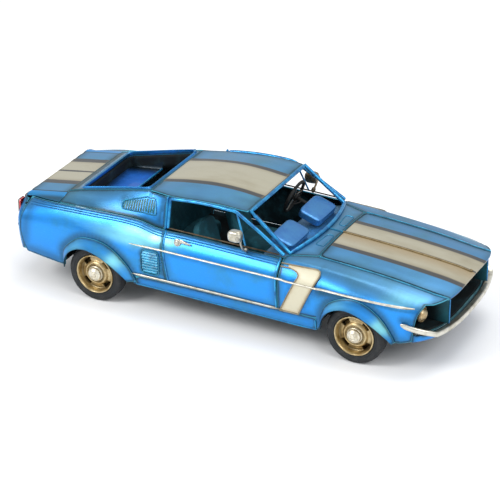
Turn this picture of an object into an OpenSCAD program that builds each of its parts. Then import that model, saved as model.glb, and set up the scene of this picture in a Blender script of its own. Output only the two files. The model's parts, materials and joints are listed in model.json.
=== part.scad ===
// Tinplate fastback coupe, a free-standing display model with rolling wheels.
// +X is the front of the car, +Y its left side, +Z up, and the tyres stand on Z = 0.

/* [Wheels] */
// Distance between the two axles
wheelbase = 190; // [189:0.5:191]
// Outer radius of a tyre
tyre_r = 19.8; // [19.6:0.1:20]
// Width of a tyre
tyre_w = 11; // [9:0.5:11.5]
// Distance from the centre line to the outer side wall of a tyre
tyre_out_y = 56; // [55:0.5:56]
// Radius of the rim where the tyre sits
rim_r = 13.8; // [13:0.1:14]
// Radius of an axle rod
axle_r = 1.5; // [1.2:0.1:1.8]
// Radial running clearance of an axle in its bracket
axle_play = 0.05; // [0.03:0.01:0.1]

/* [Sheet metal] */
// Thickness of the body sheets
sheet = 0.8; // [0.6:0.1:0.9]
// Gap between neighbouring body panels
seam = 0.3; // [0.2:0.05:0.5]
// How far trim stands off the panel behind it
trim_gap = 0.1; // [0.1:0.05:0.2]
// Radius of the thin wires round the openings
wire_r = 0.9; // [0.7:0.1:1]

/* [Body] */
// Underside height of the floor pan
floor_z = 22.5; // [22.3:0.1:23]
// Height at which the sides are widest
waist_z = 44; // [43:0.5:45]
// How far the sides tuck in at their lower edge
tuck = 2.5; // [2:0.1:3]
// Half width of the hood
hood_y = 36; // [35:0.2:36.4]
// Height of the joint between door and rocker
rocker_top_z = 26; // [25.5:0.1:26.5]

/* [Hidden] */
// Shift that puts the middle of the overall length on the origin
frame_x = 3.65;
axle_z = tyre_r;
axle_x = [-wheelbase / 2, wheelbase / 2];
steel_blue = "#2b86c8";
pale_blue = "#4f9fd0";
cream = "#ddd5b8";
silver = "#d8d5c8";
brass = "#b08a45";
dark = "#1c2024";

// ---- curves -------------------------------------------------------------
// Each curve is a short list of [position, value] knots joined smoothly.
function lerp(a, b, t) = a + (b - a) * t;
function knot(k, x, i = 0) = (i >= len(k) - 2 || x < k[i + 1][0]) ? i : knot(k, x, i + 1);
function rise(k, i, j) = (k[j][1] - k[i][1]) / (k[j][0] - k[i][0]);
function tangent(k, i) = rise(k, max(i - 1, 0), min(i + 1, len(k) - 1));
function curve(k, x) =
    let (i = knot(k, x), h = k[i + 1][0] - k[i][0],
         t = min(max((x - k[i][0]) / h, 0), 1), s = t * t * (3 - 2 * t))
    lerp(k[i][1], k[i + 1][1], s) + h * t * (1 - t)
        * (tangent(k, i) * (1 - t) - tangent(k, i + 1) * t);
function steps(a, b, n) = [for (i = [0:n]) lerp(a, b, i / n)];

belt_z_knots = [[-152, 59.9], [-125, 62.8], [-95, 64.4], [-76, 64.8], [-62, 63.8], [-49, 60.9],
                [-30, 60.7], [10, 59.8], [66, 58], [109, 54.2], [141, 49]];
belt_y_knots = [[-152, 41.5], [-138, 46], [-125, 48.2], [-90, 50], [-45, 48.5], [40, 48], [75, 47.5],
                [141, 47.5]];
waist_y_knots = [[-155, 53.5], [-130, 56], [-95, 58], [-40, 57], [60, 57], [95, 58], [125, 56.5],
                 [141, 53]];
bottom_z_knots = [[-151, 23.5], [-119, 21], [-66, 19.4], [21, 17.3], [66, 16.8], [119, 20.8],
                  [135, 22.8], [143, 25]];
hood_z_knots = [[40, 61.9], [61, 61.3], [105, 58.6], [140, 55], [153.5, 52.4]];
roof_mid_knots = [[-62, 80.6], [-42, 84.6], [-22, 86.6], [-5, 86], [13, 83.9]];
roof_edge_knots = [[-62, 80.6], [-40, 81.8], [-20, 83.4], [-4, 84], [13, 83.2]];
roof_y_knots = [[-128, 35.6], [-61, 36.5], [-45, 40], [-20, 41.3], [5, 42], [13, 41]];
sail_z_knots = [[-128, 65.8], [-115, 69.3], [-61, 80.8], [-46, 81.6]];
fender_front_knots = [[20, 132.5], [30, 134.2], [38, 135.6], [44, 137.2], [50, 140.2]];
tail_bulge_knots = [[23, -149.5], [31, -153], [42, -154.5], [52, -153], [61, -149.8]];
// Radius of the wheel-arch edges about the axle against the angle from +X
arch_in_knots = [[0, 28], [18, 22], [40, 18.5], [62, 17.4], [85, 18.3], [105, 20], [125, 21.5],
                 [145, 22.6], [165, 22.8], [180, 22.6]];
arch_out_front_knots = [[0, 28.4], [20, 26.4], [50, 26], [90, 27.1], [115, 27.1], [132, 27],
                        [155, 25.2], [180, 24]];
arch_out_rear_knots = [[0, 32], [20, 30], [40, 28.2], [60, 27.8], [90, 27.5], [110, 28],
                       [130, 27.2], [150, 27], [167, 24.4], [180, 24]];

function belt_z(x) = curve(belt_z_knots, x);
function belt_y(x) = curve(belt_y_knots, x);
function bottom_z(x) = curve(bottom_z_knots, x);
function hood_mid_z(x) = curve(hood_z_knots, x);
function top_z(x, y) =
    hood_mid_z(x) - (hood_mid_z(x) - belt_z(min(x, 141))) * pow(abs(y) / 47.5, 2.4);
function lip_x(y) = 153.5 - 13.3 * pow(abs(y) / 49, 5);
function roof_y(x) = curve(roof_y_knots, x);
function roof_z(x, y) =
    let (e = curve(roof_edge_knots, x), m = curve(roof_mid_knots, x))
    e + (m - e) * (1 - pow(min(abs(y) / roof_y(x), 1), 2));
// Half width of the side at a height
function side_y(x, z) =
    let (w = curve(waist_y_knots, x), up = (z - waist_z) / (belt_z(x) - waist_z),
         down = (waist_z - z) / 25)
    z > waist_z ? w - (w - belt_y(x)) * pow(min(up, 1.1), 2.2) : w - tuck * down * down;
function arch_point(xa, knots, a, extra = 0) =
    let (r = curve(knots, a) + extra) [xa + r * cos(a), axle_z + r * sin(a)];

// ---- solids from rings --------------------------------------------------
function det3(a, b, c) = a * cross(b, c);
function volume(p, f) = [for (t = f) det3(p[t[0]], p[t[1]], p[t[2]])] * [for (t = f) 1];
function band(i, j, m) =
    [for (k = [0:m - 1]) let (n = (k + 1) % m)
        each [[i * m + k, j * m + k, j * m + n], [i * m + k, j * m + n, i * m + n]]];
function cap(i, m) =
    [for (k = [0:m / 2 - 2]) let (o = i * m)
        each [[o + k, o + k + 1, o + m - 2 - k], [o + k, o + m - 2 - k, o + m - 1 - k]]];
function flip(f) = [for (t = f) [t[2], t[1], t[0]]];
function side_faces(n, m, closed) = [for (i = [0:n - (closed ? 1 : 2)]) each band(i, (i + 1) % n, m)];

// A closed solid through equal rings of an even number of points
module skin(rings, closed = false) {
    n = len(rings);
    m = len(rings[0]);
    points = [for (r = rings) each r];
    faces = concat(side_faces(n, m, closed), closed ? [] : cap(0, m),
                   closed ? [] : flip(cap(n - 1, m)));
    polyhedron(points, volume(points, faces) < 0 ? faces : flip(faces), convexity = 6);
}
function reversed(v) = [for (i = [len(v) - 1:-1:0]) v[i]];
// Outer points and the same points moved by the sheet's thickness make one ring
function sheet_ring(outer, move) = concat(outer, reversed([for (p = outer) p + move]));

// Round wire of eight sides through a list of points
function unit(v) = v / norm(v);
function wire_ring(p, t, r, ref) =
    let (u = unit(cross(ref, t)), w = cross(unit(t), u))
    [for (k = [0:7]) p + r * (cos(45 * k + 22.5) * u + sin(45 * k + 22.5) * w)];
module wire(path, r, ref = [0, 1, 0], closed = false) {
    n = len(path);
    before = [for (i = [0:n - 1]) closed ? (i + n - 1) % n : max(i - 1, 0)];
    after = [for (i = [0:n - 1]) closed ? (i + 1) % n : min(i + 1, n - 1)];
    skin([for (i = [0:n - 1]) wire_ring(path[i], path[after[i]] - path[before[i]], r, ref)], closed);
}
module both_sides() {
    children();
    mirror([0, 1, 0]) children();
}
module left() {
    mirror([0, 1, 0]) children();
}
module in_frame() {
    translate([frame_x, 0, 0]) children();
}

// ---- side panels, drawn for the right side (-Y) ---------------------------
function side_pt(x, z, off = 0) = [x, -(side_y(x, z) + off), z];
// One sheet from columns of [x at top, x at bottom, z at top, z at bottom]
function column(c, n) =
    [for (j = [0:n]) let (t = j / n) side_pt(lerp(c[0], c[1], t), lerp(c[2], c[3], t))];
module side_sheet(columns, n) {
    skin([for (c = columns) sheet_ring(column(c, n), [0, sheet, 0])]);
}
function plain_column(x, low) = [x, x, belt_z(x), low];
door_rear_top_x = -44.7;
door_rear_low_x = -39.7;
door_front_x = 40;
rocker_rear_x = -63.5;
rocker_front_x = 68.5;
foot_gap = 0.2;

function arch_columns(xa, from, to, n) =
    [for (a = steps(from, to, n)) let (p = arch_point(xa, arch_in_knots, a, 0.8))
        plain_column(p[0], p[1])];
module quarter_sheet() {
    tail = [for (t = steps(0, 1, 5)) let (s = 1 - t)
        [for (j = [0:9]) let (x = lerp(-149.8, -118.6, t), z = lerp(belt_z(x), bottom_z(x), j / 9))
            side_pt(x + s * s * (curve(tail_bulge_knots, z) + 149.8), z)]];
    arch = [for (c = arch_columns(axle_x[0], 176, 4, 16)) column(c, 9)];
    foot_x = rocker_rear_x - foot_gap;
    foot = [for (c = [plain_column(foot_x - 1, bottom_z(foot_x)), plain_column(foot_x, bottom_z(foot_x)),
                      plain_column(foot_x + 0.1, rocker_top_z + seam)]) column(c, 9)];
    door_side = [for (t = steps(0.2, 1, 4)) column([lerp(foot_x, door_rear_top_x - seam, t),
        lerp(foot_x, door_rear_low_x - seam, t), belt_z(lerp(foot_x, door_rear_top_x, t)),
        rocker_top_z + seam], 9)];
    rings = concat(tail, arch, foot, door_side);
    skin([for (r = rings) sheet_ring(r, [0, sheet, 0])]);
}
module quarter_panel_right() color(steel_blue) in_frame() quarter_sheet();
module quarter_panel_left() color(steel_blue) in_frame() left() quarter_sheet();

module door_sheet() {
    side_sheet([for (t = steps(0, 1, 10)) [lerp(door_rear_top_x, door_front_x, t),
        lerp(door_rear_low_x, door_front_x + 1, t), belt_z(lerp(door_rear_top_x, door_front_x, t)),
        rocker_top_z + seam]], 8);
}
module door_right() color(steel_blue) in_frame() door_sheet();
module door_left() color(steel_blue) in_frame() left() door_sheet();

// Inner edge of the fender's top strip, beside the cowl and then the hood
function strip_y(x) = x < 61 ? lerp(43.6, hood_y + seam, max(x - 41, 0) / 20) : hood_y + seam;
function strip_pt(x, t) =
    let (y = lerp(strip_y(x), belt_y(x), t), end = lip_x(y),
         xs = x > 124 ? lerp(124, end, (x - 124) / 16) : x)
    [xs, -y, top_z(xs, y)];
function fender_ring(x, low) =
    let (zt = belt_z(x))
    concat([for (t = [0, 0.33, 0.66]) strip_pt(x, t)],
        [for (j = [0:9]) let (z = lerp(zt, low, j / 9), f = curve(fender_front_knots, z),
            xs = x > 124 ? lerp(124, f, (x - 124) / 16) : x) side_pt(xs, z)]);
module fender_sheet() {
    door_gap_x = door_front_x + seam + 1;
    low = rocker_top_z + seam;
    columns = concat([for (x = steps(door_gap_x, rocker_front_x, 4)) [x, low]],
        [[rocker_front_x + 0.1, bottom_z(66)]],
        [for (a = steps(176, 3, 16)) arch_point(axle_x[1], arch_in_knots, a, 0.8)],
        [for (x = steps(124, 140, 4)) [x, bottom_z(x)]]);
    skin([for (c = columns) let (o = fender_ring(c[0], c[1]))
        concat(o, reversed([for (j = [0:len(o) - 1])
            o[j] + (j < 3 ? [0, 0, -sheet] : j == 3 ? [0, 0.6, -0.6] * sheet : [0, sheet, 0])]))]);
}
module fender_right() color(steel_blue) in_frame() fender_sheet();
module fender_left() color(steel_blue) in_frame() left() fender_sheet();

module rocker_sheet() {
    columns = [for (x = steps(rocker_rear_x, rocker_front_x - seam, 12))
        [x, x, rocker_top_z, bottom_z(x)]];
    side_sheet(columns, 3);
}
module rocker_right() color(steel_blue) in_frame() rocker_sheet();
module rocker_left() color(steel_blue) in_frame() left() rocker_sheet();

// ---- wheel-arch flares ------------------------------------------------------
flare_rise = 2.1;
module flare_sheet(xa, out_knots, n = 22) {
    skin([for (a = steps(177, 4, n))
        let (inner = arch_point(xa, arch_in_knots, a), outer = arch_point(xa, out_knots, a),
             front = [for (t = [0, 0.3, 0.65, 0.9, 1])
                 let (x = lerp(outer[0], inner[0], t), z = lerp(outer[1], inner[1], t))
                 side_pt(x, z, trim_gap + sheet + flare_rise * pow(t, 0.7))])
        sheet_ring(front, [0, sheet, 0])]);
}
module flare_front_right() color(steel_blue) in_frame() flare_sheet(axle_x[1], arch_out_front_knots);
module flare_front_left() color(steel_blue) in_frame() left() flare_sheet(axle_x[1], arch_out_front_knots);
module flare_rear_right() color(steel_blue) in_frame() flare_sheet(axle_x[0], arch_out_rear_knots);
module flare_rear_left() color(steel_blue) in_frame() left() flare_sheet(axle_x[0], arch_out_rear_knots);

// ---- upper body ---------------------------------------------------------------
roof_rear_x = -61.5;
roof_front_x = 12.5;
module roof_panel() color(pale_blue) in_frame() {
    skin([for (x = steps(roof_rear_x, roof_front_x, 14))
        sheet_ring([for (v = steps(-1, 1, 12)) let (y = v * roof_y(x)) [x, y, roof_z(x, y)]],
                   [0, 0, -sheet])]);
}

sail_rear_x = -125.6;
b_pillar_x = -45.6;
function sail_top(x) =
    [x, -roof_y(x), x < roof_rear_x ? curve(sail_z_knots, x) : roof_z(x, roof_y(x)) - sheet - 0.4];
function sail_low(x) = [x, -(belt_y(x) - 1.1), belt_z(x) - 0.2];
module sail_sheet() {
    skin([for (t = steps(0, 1, 16))
        let (a = sail_top(lerp(sail_rear_x, b_pillar_x - 2, t)),
             b = sail_low(lerp(sail_rear_x, b_pillar_x, t)))
        sheet_ring([for (v = steps(0, 1, 5)) lerp(a, b, v) + [0, -1.1 * sin(180 * v), 0]],
                   [0, sheet, 0])]);
}
module sail_panel_right() color(steel_blue) in_frame() sail_sheet();
module sail_panel_left() color(steel_blue) in_frame() left() sail_sheet();

// Rear window: a flat band round the opening with a raised wire on its inner edge
window_front_x = -64.5;
window_rear_x = -116;
band_rear_x = -125.6;
function slope_z(x) = curve(sail_z_knots, x) - 0.1;
function loop(xf, yf, xr, yr) =
    concat([for (y = steps(-yf, yf, 4)) [xf, y, slope_z(xf)]],
           [for (t = [0.25, 0.5, 0.75]) let (x = lerp(xf, xr, t)) [x, lerp(yf, yr, t), slope_z(x)]],
           [for (y = steps(yr, -yr, 4)) [xr, y, slope_z(xr)]],
           [for (t = [0.75, 0.5, 0.25]) let (x = lerp(xf, xr, t)) [x, -lerp(yf, yr, t), slope_z(x)]]);
module rear_window_frame() color(pale_blue) in_frame() {
    outer = loop(roof_rear_x - seam, 35.2, band_rear_x, 34.3);
    inner = loop(window_front_x, 34, window_rear_x, 31.5);
    down = [0, 0, -sheet];
    rim = [0, 0, 1.1];
    skin([for (i = [0:len(outer) - 1]) let (a = outer[i], b = inner[i])
        [a, a + down, lerp(a, b, 0.5) + down, b + down,
         b + rim, lerp(b, a, 0.15) + rim, lerp(b, a, 0.3), lerp(b, a, 0.6)]], true);
}
// Shelf below the rear window: a floor with two side walls, which ends before the rear seat
tray_rear_x = -117;
tray_front_x = -91;
tray_rear_z = 58.5;
tray_front_z = 61.5;
tray_wall = 8;
module parcel_tray() color("#2a63c4") in_frame() {
    skin([for (t = steps(0, 1, 3)) let (x = lerp(tray_rear_x, tray_front_x, t),
            z = lerp(tray_rear_z, tray_front_z, t))
        sheet_ring([[x, -33.5, z + tray_wall], [x, -32, z], [x, 32, z], [x, 33.5, z + tray_wall]],
                   [0, 0, -sheet])]);
}

lid_front_x = -126;
lid_rear_x = -155.2;
lid_y = 36;
function lid_z(x) = lerp(65.4, 60.9, (x - lid_front_x) / (lid_rear_x - lid_front_x));
function lid_side_y(x) = lerp(34.4, lid_y, (x - lid_front_x) / (lid_rear_x - lid_front_x));
module trunk_lid() color(pale_blue) in_frame() {
    skin([for (x = steps(lid_front_x, lid_rear_x, 5))
        let (y = lid_side_y(x), z = lid_z(x), s = side_pt(max(x, -149), belt_z(x)),
             low = [x, s[1] + 1.2, min(s[2] + 0.65, z - 0.6)])
        sheet_ring([low, [x, lerp(low[1], -y, 0.5), lerp(low[2], z, 0.62)], [x, -y, z - 0.2],
            [x, -y * 0.6, z], [x, 0, z], [x, y * 0.6, z], [x, y, z - 0.2],
            [x, -lerp(low[1], -y, 0.5), lerp(low[2], z, 0.62)], [x, -low[1], low[2]]],
            [0, 0, -sheet])]);
}

// ---- tail ---------------------------------------------------------------------
tail_x = -156.6;
tail_low_z = 24;
tail_top_z = 58.6;
// A point of the tail: u runs from the right side (-1) to the left (1)
tail_corner = 0.84;
function tail_bow(z) = -1.2 * (1 - pow((z - 43) / 17, 2));
function tail_pt(u, z) =
    let (a = abs(u), c = max((a - tail_corner) / (1 - tail_corner), 0), w = side_y(-151, z) - sheet - 0.15,
         y = a < tail_corner ? a / tail_corner * (w - 4.6) : w - 4.6 + 4.2 * sin(90 * c))
    [tail_x + tail_bow(z) + 4.4 * c * c, sign(u) * y, z];
module tail_panel() color(steel_blue) in_frame() {
    skin([for (u = steps(-1, 1, 18))
        sheet_ring([for (z = steps(tail_top_z, tail_low_z, 8)) tail_pt(u, z)], [sheet, 0, 0])]);
}
module tail_lights() color("#a01818") in_frame() both_sides() {
    for (i = [0:2])
        translate([tail_x - 1.9, -42 + i * 8.6, 52.6]) cube([1.3, 6.8, 8], center = true);
}
bumper_rear_x = tail_x - 2.9;
module rear_bumper() color(silver) in_frame() {
    wire([for (u = steps(-1, 1, 12)) [bumper_rear_x + 0.2 * u * u, 46 * u, 39]], 1.4, [0, 0, 1]);
    both_sides() translate([tail_x - 1.55, -26, 39]) rotate([0, -90, 0]) cylinder(r = 1, h = 1, $fn = 32);
}

// ---- hood and nose --------------------------------------------------------------
hood_rear_x = 60.9;
cowl_front_x = hood_rear_x - seam;
function cowl_rear_x(y) = 49.5 - 7.8 * pow(abs(y) / 43.2, 2);
module hood() color(pale_blue) in_frame() {
    skin([for (v = steps(-1, 1, 14)) let (y = v * hood_y, end = lip_x(y))
        sheet_ring([for (t = steps(0, 1, 12)) let (x = lerp(hood_rear_x, end, t)) [x, y, top_z(x, y)]],
                   [0, 0, -sheet])]);
}
module cowl_panel() color(pale_blue) in_frame() {
    skin([for (v = steps(-1, 1, 14)) let (yr = v * 42.7, yf = v * (hood_y - 0.2))
        sheet_ring([for (t = steps(0, 1, 4)) let (y = lerp(yr, yf, t),
                x = lerp(cowl_rear_x(yr), cowl_front_x, t)) [x, y, top_z(x, y)]], [0, 0, -sheet])]);
}
rib_r = 0.7;
rib_end_x = 150.5;
module hood_rib() color(cream) in_frame() {
    wire([for (x = steps(51.4, rib_end_x, 16)) [x, 0, top_z(x, 0) + rib_r + 0.05]], rib_r);
}
mouth_low_z = 30;
cheek_y = 32.6;
// Liner behind the grille opening: a dark back wall, floor and side cheeks
module grille_shell() color(dark) in_frame() {
    skin([for (v = steps(-1, 1, 12))
        let (y = 46 * v, back = 131 - 4 * v * v, front = lip_x(y) - 2.5,
             top = top_z(front - 2, y) - sheet - 0.9, mid = lerp(mouth_low_z, top, 0.5), t = sheet)
        [[front - 1, y, top - t], [back + 2, y, top - t], [back + t, y, mid], [back + 2, y, mouth_low_z + t],
         [front - 4, y, mouth_low_z + t], [front - 4, y, mouth_low_z], [back + 1.6, y, mouth_low_z],
         [back, y, mid], [back + 1.6, y, top], [front - 1, y, top]]]);
    cheek_low = mouth_low_z + sheet + 0.1;
    cheek_top = top_z(lip_x(cheek_y) - 4.5, cheek_y) - 2 * sheet - 1.3;
    for (s = [-1, 1]) translate([134, s * cheek_y - sheet / 2, cheek_low])
        cube([lip_x(cheek_y) - 136, sheet, cheek_top - cheek_low]);
}
headlight_y = 44;
module headlights() color(brass) in_frame() both_sides()
    translate([134.5, -headlight_y, 40]) rotate([0, 90, 0])
        rotate_extrude($fn = 48) polygon([[0, 0], [4.8, 0], [5.3, 0.8], [5.3, 2.2], [4.6, 2.6],
                                          [3.6, 3.8], [1.9, 4.6], [0, 4.8]]);

function valance_x(y) = 149.5 - 13.5 * pow(abs(y) / 53, 4);
module front_valance() color(steel_blue) in_frame() {
    skin([for (v = steps(-1, 1, 16)) let (y = 53 * v, x = valance_x(y))
        sheet_ring([[x - 1, y * 0.995, mouth_low_z - 1], [x, y, 27], [x - 1, y * 0.99, 23.5],
                    [x - 6, y * 0.95, 22]], [-sheet, 0, 0])]);
}
// Bumper bar in plan from the right end round to the left, dropping towards the middle
bumper_end_x = 127;
function bumper_pt(u) =
    let (a = abs(u), y = 57.6 * sin(90 * min(a / 0.8, 1)), corner = max((a - 0.62) / 0.38, 0))
    a < 0.62 ? [152.6 - 4.5 * pow(a / 0.62, 3), sign(u) * a / 0.62 * 47, 27.2 + 2.6 * pow(a / 0.62, 2)]
             : [lerp(148.1, bumper_end_x, pow(corner, 1.25)), sign(u) * lerp(47, 57.2, sin(90 * corner)),
                29.8 + 6.6 * corner];
module front_bumper() color(silver) in_frame() {
    skin([for (u = steps(-1, 1, 28)) let (p = bumper_pt(u), h = 1.7,
            o = unit([max(1 - 1.7 * max(abs(u) - 0.5, 0) / 0.5, 0.02), p[1] / 57 * 0.9, 0]))
        [for (k = [0:7]) p + o * 0.9 * cos(45 * k) + [0, 0, h * sin(45 * k)]]]);
}

// ---- trim on the sides -----------------------------------------------------------
module belt_mouldings() color(pale_blue) in_frame() both_sides()
    wire([for (x = steps(-149, door_front_x, 30)) side_pt(x, belt_z(x) - 1.6, 0.75)], 0.6);

// A thin strip that follows the side between two positions, with a flat back
module side_strip(x0, x1, z0, z1, h, proud, n = 18) {
    skin([for (t = steps(0, 1, n)) let (x = lerp(x0, x1, t), z = lerp(z0, z1, t), k = min(1, 8 * t + 0.25))
        [side_pt(x, z + h * k / 2, trim_gap), side_pt(x, z + h * k / 4, trim_gap + proud * k),
         side_pt(x, z - h * k / 4, trim_gap + proud * k), side_pt(x, z - h * k / 2, trim_gap)]]);
}
module side_trims() color(silver) in_frame() both_sides() {
    side_strip(-67.3, 40.5, 49.7, 48.9, 1.4, 0.9);
    side_strip(69.5, 134.5, 48.6, 47.3, 1.3, 0.9);
    side_strip(-66, 42.5, 27.7, 26.7, 2.2, 1.2);
}
// Cream plate that drops from the belt to the sill and leans back
module side_stripes() color(cream) in_frame() both_sides()
    skin([for (z = steps(57.5, 26.4, 10)) let (t = (57.5 - z) / 31.1, bend = pow(max(1 - t * 2.2, 0), 2),
            x0 = lerp(56, 43.2, min(t * 1.15, 1)) - 11 * bend,
            x1 = lerp(70.5, 56, min(t * 1.1, 1)) - bend,
            front = [for (s = [0, 0.5, 1]) side_pt(lerp(x0, x1, s), z, trim_gap + 0.7)])
        sheet_ring(front, [0, 0.7, 0])]);

louvre_x = -51.8;
louvre_z = 39;
module side_louvres() color(pale_blue) in_frame() both_sides() {
    for (i = [0:6])
        let (z = louvre_z - 6.6 + i * 2.2)
        skin([for (x = [louvre_x - 5, louvre_x, louvre_x + 5])
            [side_pt(x, z + 0.8, trim_gap), side_pt(x, z + 0.5, trim_gap + 0.4),
             side_pt(x, z - 0.6, trim_gap + 0.9), side_pt(x, z - 0.8, trim_gap)]]);
    wire([for (a = steps(0, 348.75, 31)) let (c = cos(a), s = sin(a))
        side_pt(louvre_x + 6.6 * sign(c) * pow(abs(c), 0.4), louvre_z + 8.7 * sign(s) * pow(abs(s), 0.4),
                trim_gap + 0.65)], 0.55, closed = true);
}
// Point on the sail panel: t runs forward, v runs down
function sail_pt(t, v, off) =
    let (a = sail_top(lerp(sail_rear_x, b_pillar_x - 2, t)), b = sail_low(lerp(sail_rear_x, b_pillar_x, t)))
    lerp(a, b, v) + [0, -1.1 * sin(180 * v) - off, 0];
function vent_high(t) = lerp(0.43, 0.2, (t - 0.59) / 0.3);
function vent_low(t) = lerp(0.68, 0.59, max(t - 0.76, 0) / 0.15);
module sail_vents() color(pale_blue) in_frame() both_sides() {
    for (i = [0:11]) let (t = lerp(0.62, 0.875, i / 11), high = vent_high(t), low = vent_low(t))
        skin([for (v = [high, (high + low) / 2, low])
            [sail_pt(t, v, 0.85), sail_pt(t + 0.006, v, 1.5), sail_pt(t + 0.012, v, 0.85),
             sail_pt(t + 0.006, v, 0.8)]]);
    wire([for (q = [[0.592, 0.44], [0.602, 0.385], [0.66, 0.325], [0.735, 0.262], [0.8, 0.2], [0.852, 0.155],
                    [0.876, 0.155], [0.886, 0.2], [0.904, 0.45], [0.911, 0.6], [0.9, 0.645], [0.84, 0.69],
                    [0.762, 0.722], [0.68, 0.728], [0.62, 0.722], [0.6, 0.68], [0.592, 0.56]])
        sail_pt(q[0], q[1], 1.45)], 0.55, closed = true);
}

// The left mirror is bent lower than the right one
left_mirror_drop = 6;
module one_mirror(drop) {
    wire([[14.5, -51.5, 60.2], [14.2, -54.5, 63.5 - 0.4 * drop], [13.4, -56.2, 68 - drop]], 0.8);
    translate([10.8, -56.6, 71.2 - drop]) rotate([0, -80, 0]) rotate([0, 0, 90])
        rotate_extrude($fn = 48) polygon([[0, 0], [4.9, 0], [4.9, 1], [4.4, 2.8], [3, 4.4], [0, 5.2]]);
}
module door_mirrors() color(silver) in_frame() {
    one_mirror(0);
    mirror([0, 1, 0]) one_mirror(left_mirror_drop);
}
handle_x = -33;
handle_z = 56;
module door_handles() color(silver) in_frame() both_sides() {
    y = side_y(handle_x, handle_z) + 0.7;
    translate([handle_x, -y, handle_z]) rotate([78, 0, 0]) {
        cylinder(r = 1.9, h = 1.5, $fn = 32);
        translate([4.4, 1.2, 0.75]) cube([5.6, 1.7, 1], center = true);
    }
}

// ---- window frames ----------------------------------------------------------------
pillar_base = [40.5, -46.6, 61.2];
roof_corner = [4.5, -43.3, 82.6];
b_pillar_top = [-43.9, -41.8, 80.6];
b_pillar_base = [-43, -47.3, 62.6];
vent_top = [6, -43.9, 81];
vent_base = [13.5, -47.3, 62];
module window_frame() {
    wire(concat([b_pillar_base, b_pillar_top],
        [for (t = [0.3, 0.65]) lerp(b_pillar_top, roof_corner, t) + [0, -0.6, 1.3 * sin(180 * t)]],
        [roof_corner, lerp(roof_corner, pillar_base, 0.5) + [0, 0, 0.6], pillar_base]), wire_r);
    wire([[-42.5, -47.4, 61.9], [0, -47.6, 61.4], [37.5, -47, 60.6]], 0.6);
    wire([vent_top, vent_base], 0.6);
}
module window_frame_right() color(pale_blue) in_frame() window_frame();
module window_frame_left() color(pale_blue) in_frame() left() window_frame();

ws_base = [43.6, -41.8, 62];
ws_top = [14, -40, 83.6];
module windshield_frame() color(pale_blue) in_frame() {
    header = [for (v = steps(-1, 1, 8))
        [ws_top[0] - 0.6 * v * v + 0.6, -ws_top[1] * v, roof_z(13, 41 * v) - 0.1]];
    base = [for (v = steps(1, -1, 8))
        [cowl_rear_x(42 * v) + 0.6, 41.8 * v, top_z(48, 42 * v) + 0.95]];
    wire(concat(header, [[28.5, 41, 73.5]], base, [[28.5, -41, 73.5]]), wire_r, [0.35, 0, 1], true);
}

// ---- cabin ---------------------------------------------------------------------------
pad_in_y = 7;
pad_out_y = 34.4;
module dash_pad() {
    hull() {
        for (y = [-pad_in_y - 2, -pad_out_y + 2]) {
            translate([28.2, y, 64.6]) sphere(r = 1.8, $fn = 24);
            translate([39.2, y, 59.2]) sphere(r = 1.8, $fn = 24);
            translate([28.2, y, 58.2]) sphere(r = 1.2, $fn = 24);
        }
    }
}
module dashboard() color(pale_blue) in_frame() {
    skin([for (v = steps(-1, 1, 8)) let (y = 43 * v, x = cowl_rear_x(42 * v) - 1)
        sheet_ring([[x, y, top_z(48, y) - 1.3], [x - 4, y, 56.8], [24, y, 55.6], [22.6, y, 50], [25, y, 44]],
                   [-sheet * 0.6, 0, -sheet * 0.9])]);
    both_sides() dash_pad();
}
column_y = 21;
wheel_x = 15.5;
wheel_z = 68.5;
column_tilt = -68;
steering_ring_r = 11.3;
pin_r = 1;
module on_column() translate([wheel_x, column_y, wheel_z]) rotate([0, column_tilt, 0]) children();
module steering_column() color(dark) in_frame() on_column() {
    translate([0, 0, -13.5]) cylinder(r = 1.3, h = 10.9, $fn = 48);
    translate([0, 0, -2.6]) cylinder(r = pin_r, h = 3, $fn = 48);
    translate([0, 0, 0.4]) cylinder(r = 1.7, h = 0.8, $fn = 48);
    translate([0, 0, -6]) rotate([78, 0, 0]) cylinder(r = 0.5, h = 8, $fn = 24);
}
module steering_wheel() color(dark) in_frame() on_column() {
    spoke = steering_ring_r - 2.4;
    rotate_extrude($fn = 64) translate([steering_ring_r, 0]) circle(r = 0.9, $fn = 24);
    for (a = [90, 210, 330]) rotate([0, 0, a]) translate([1.85 + spoke / 2, 0, -0.4])
        cube([spoke, 1.5, 0.8], center = true);
    difference() {
        translate([0, 0, -2.4]) cylinder(r = 2.3, h = 2.6, $fn = 48);
        translate([0, 0, -3]) cylinder(r = pin_r + axle_play, h = 4, $fn = 48);
    }
}
seat_floor_z = floor_z + sheet + 0.9;
module bucket_seat() {
    hull() for (x = [-20, 6], y = [-11, 11], z = [2.9, 8])
        translate([x, y, seat_floor_z + z]) sphere(r = 2.8, $fn = 20);
    hull() for (y = [-10.5, 10.5]) {
        translate([-22, y, seat_floor_z + 9]) sphere(r = 2.8, $fn = 20);
        translate([-31, y * 0.85, seat_floor_z + 33]) sphere(r = 2.6, $fn = 20);
    }
}
module front_seats() color("#2a5f74") in_frame() both_sides() translate([0, -22, 0]) bucket_seat();
module rear_seat() color("#2a5f74") in_frame() {
    hull() for (x = [-58, -44], y = [-28, 28], z = [2.9, 8])
        translate([x, y, seat_floor_z + z]) sphere(r = 2.8, $fn = 24);
    hull() for (y = [-28, 28]) {
        translate([-60.5, y, seat_floor_z + 8]) sphere(r = 2.2, $fn = 24);
        translate([-64.2, y, seat_floor_z + 21.5]) sphere(r = 2.2, $fn = 24);
    }
}

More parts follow.
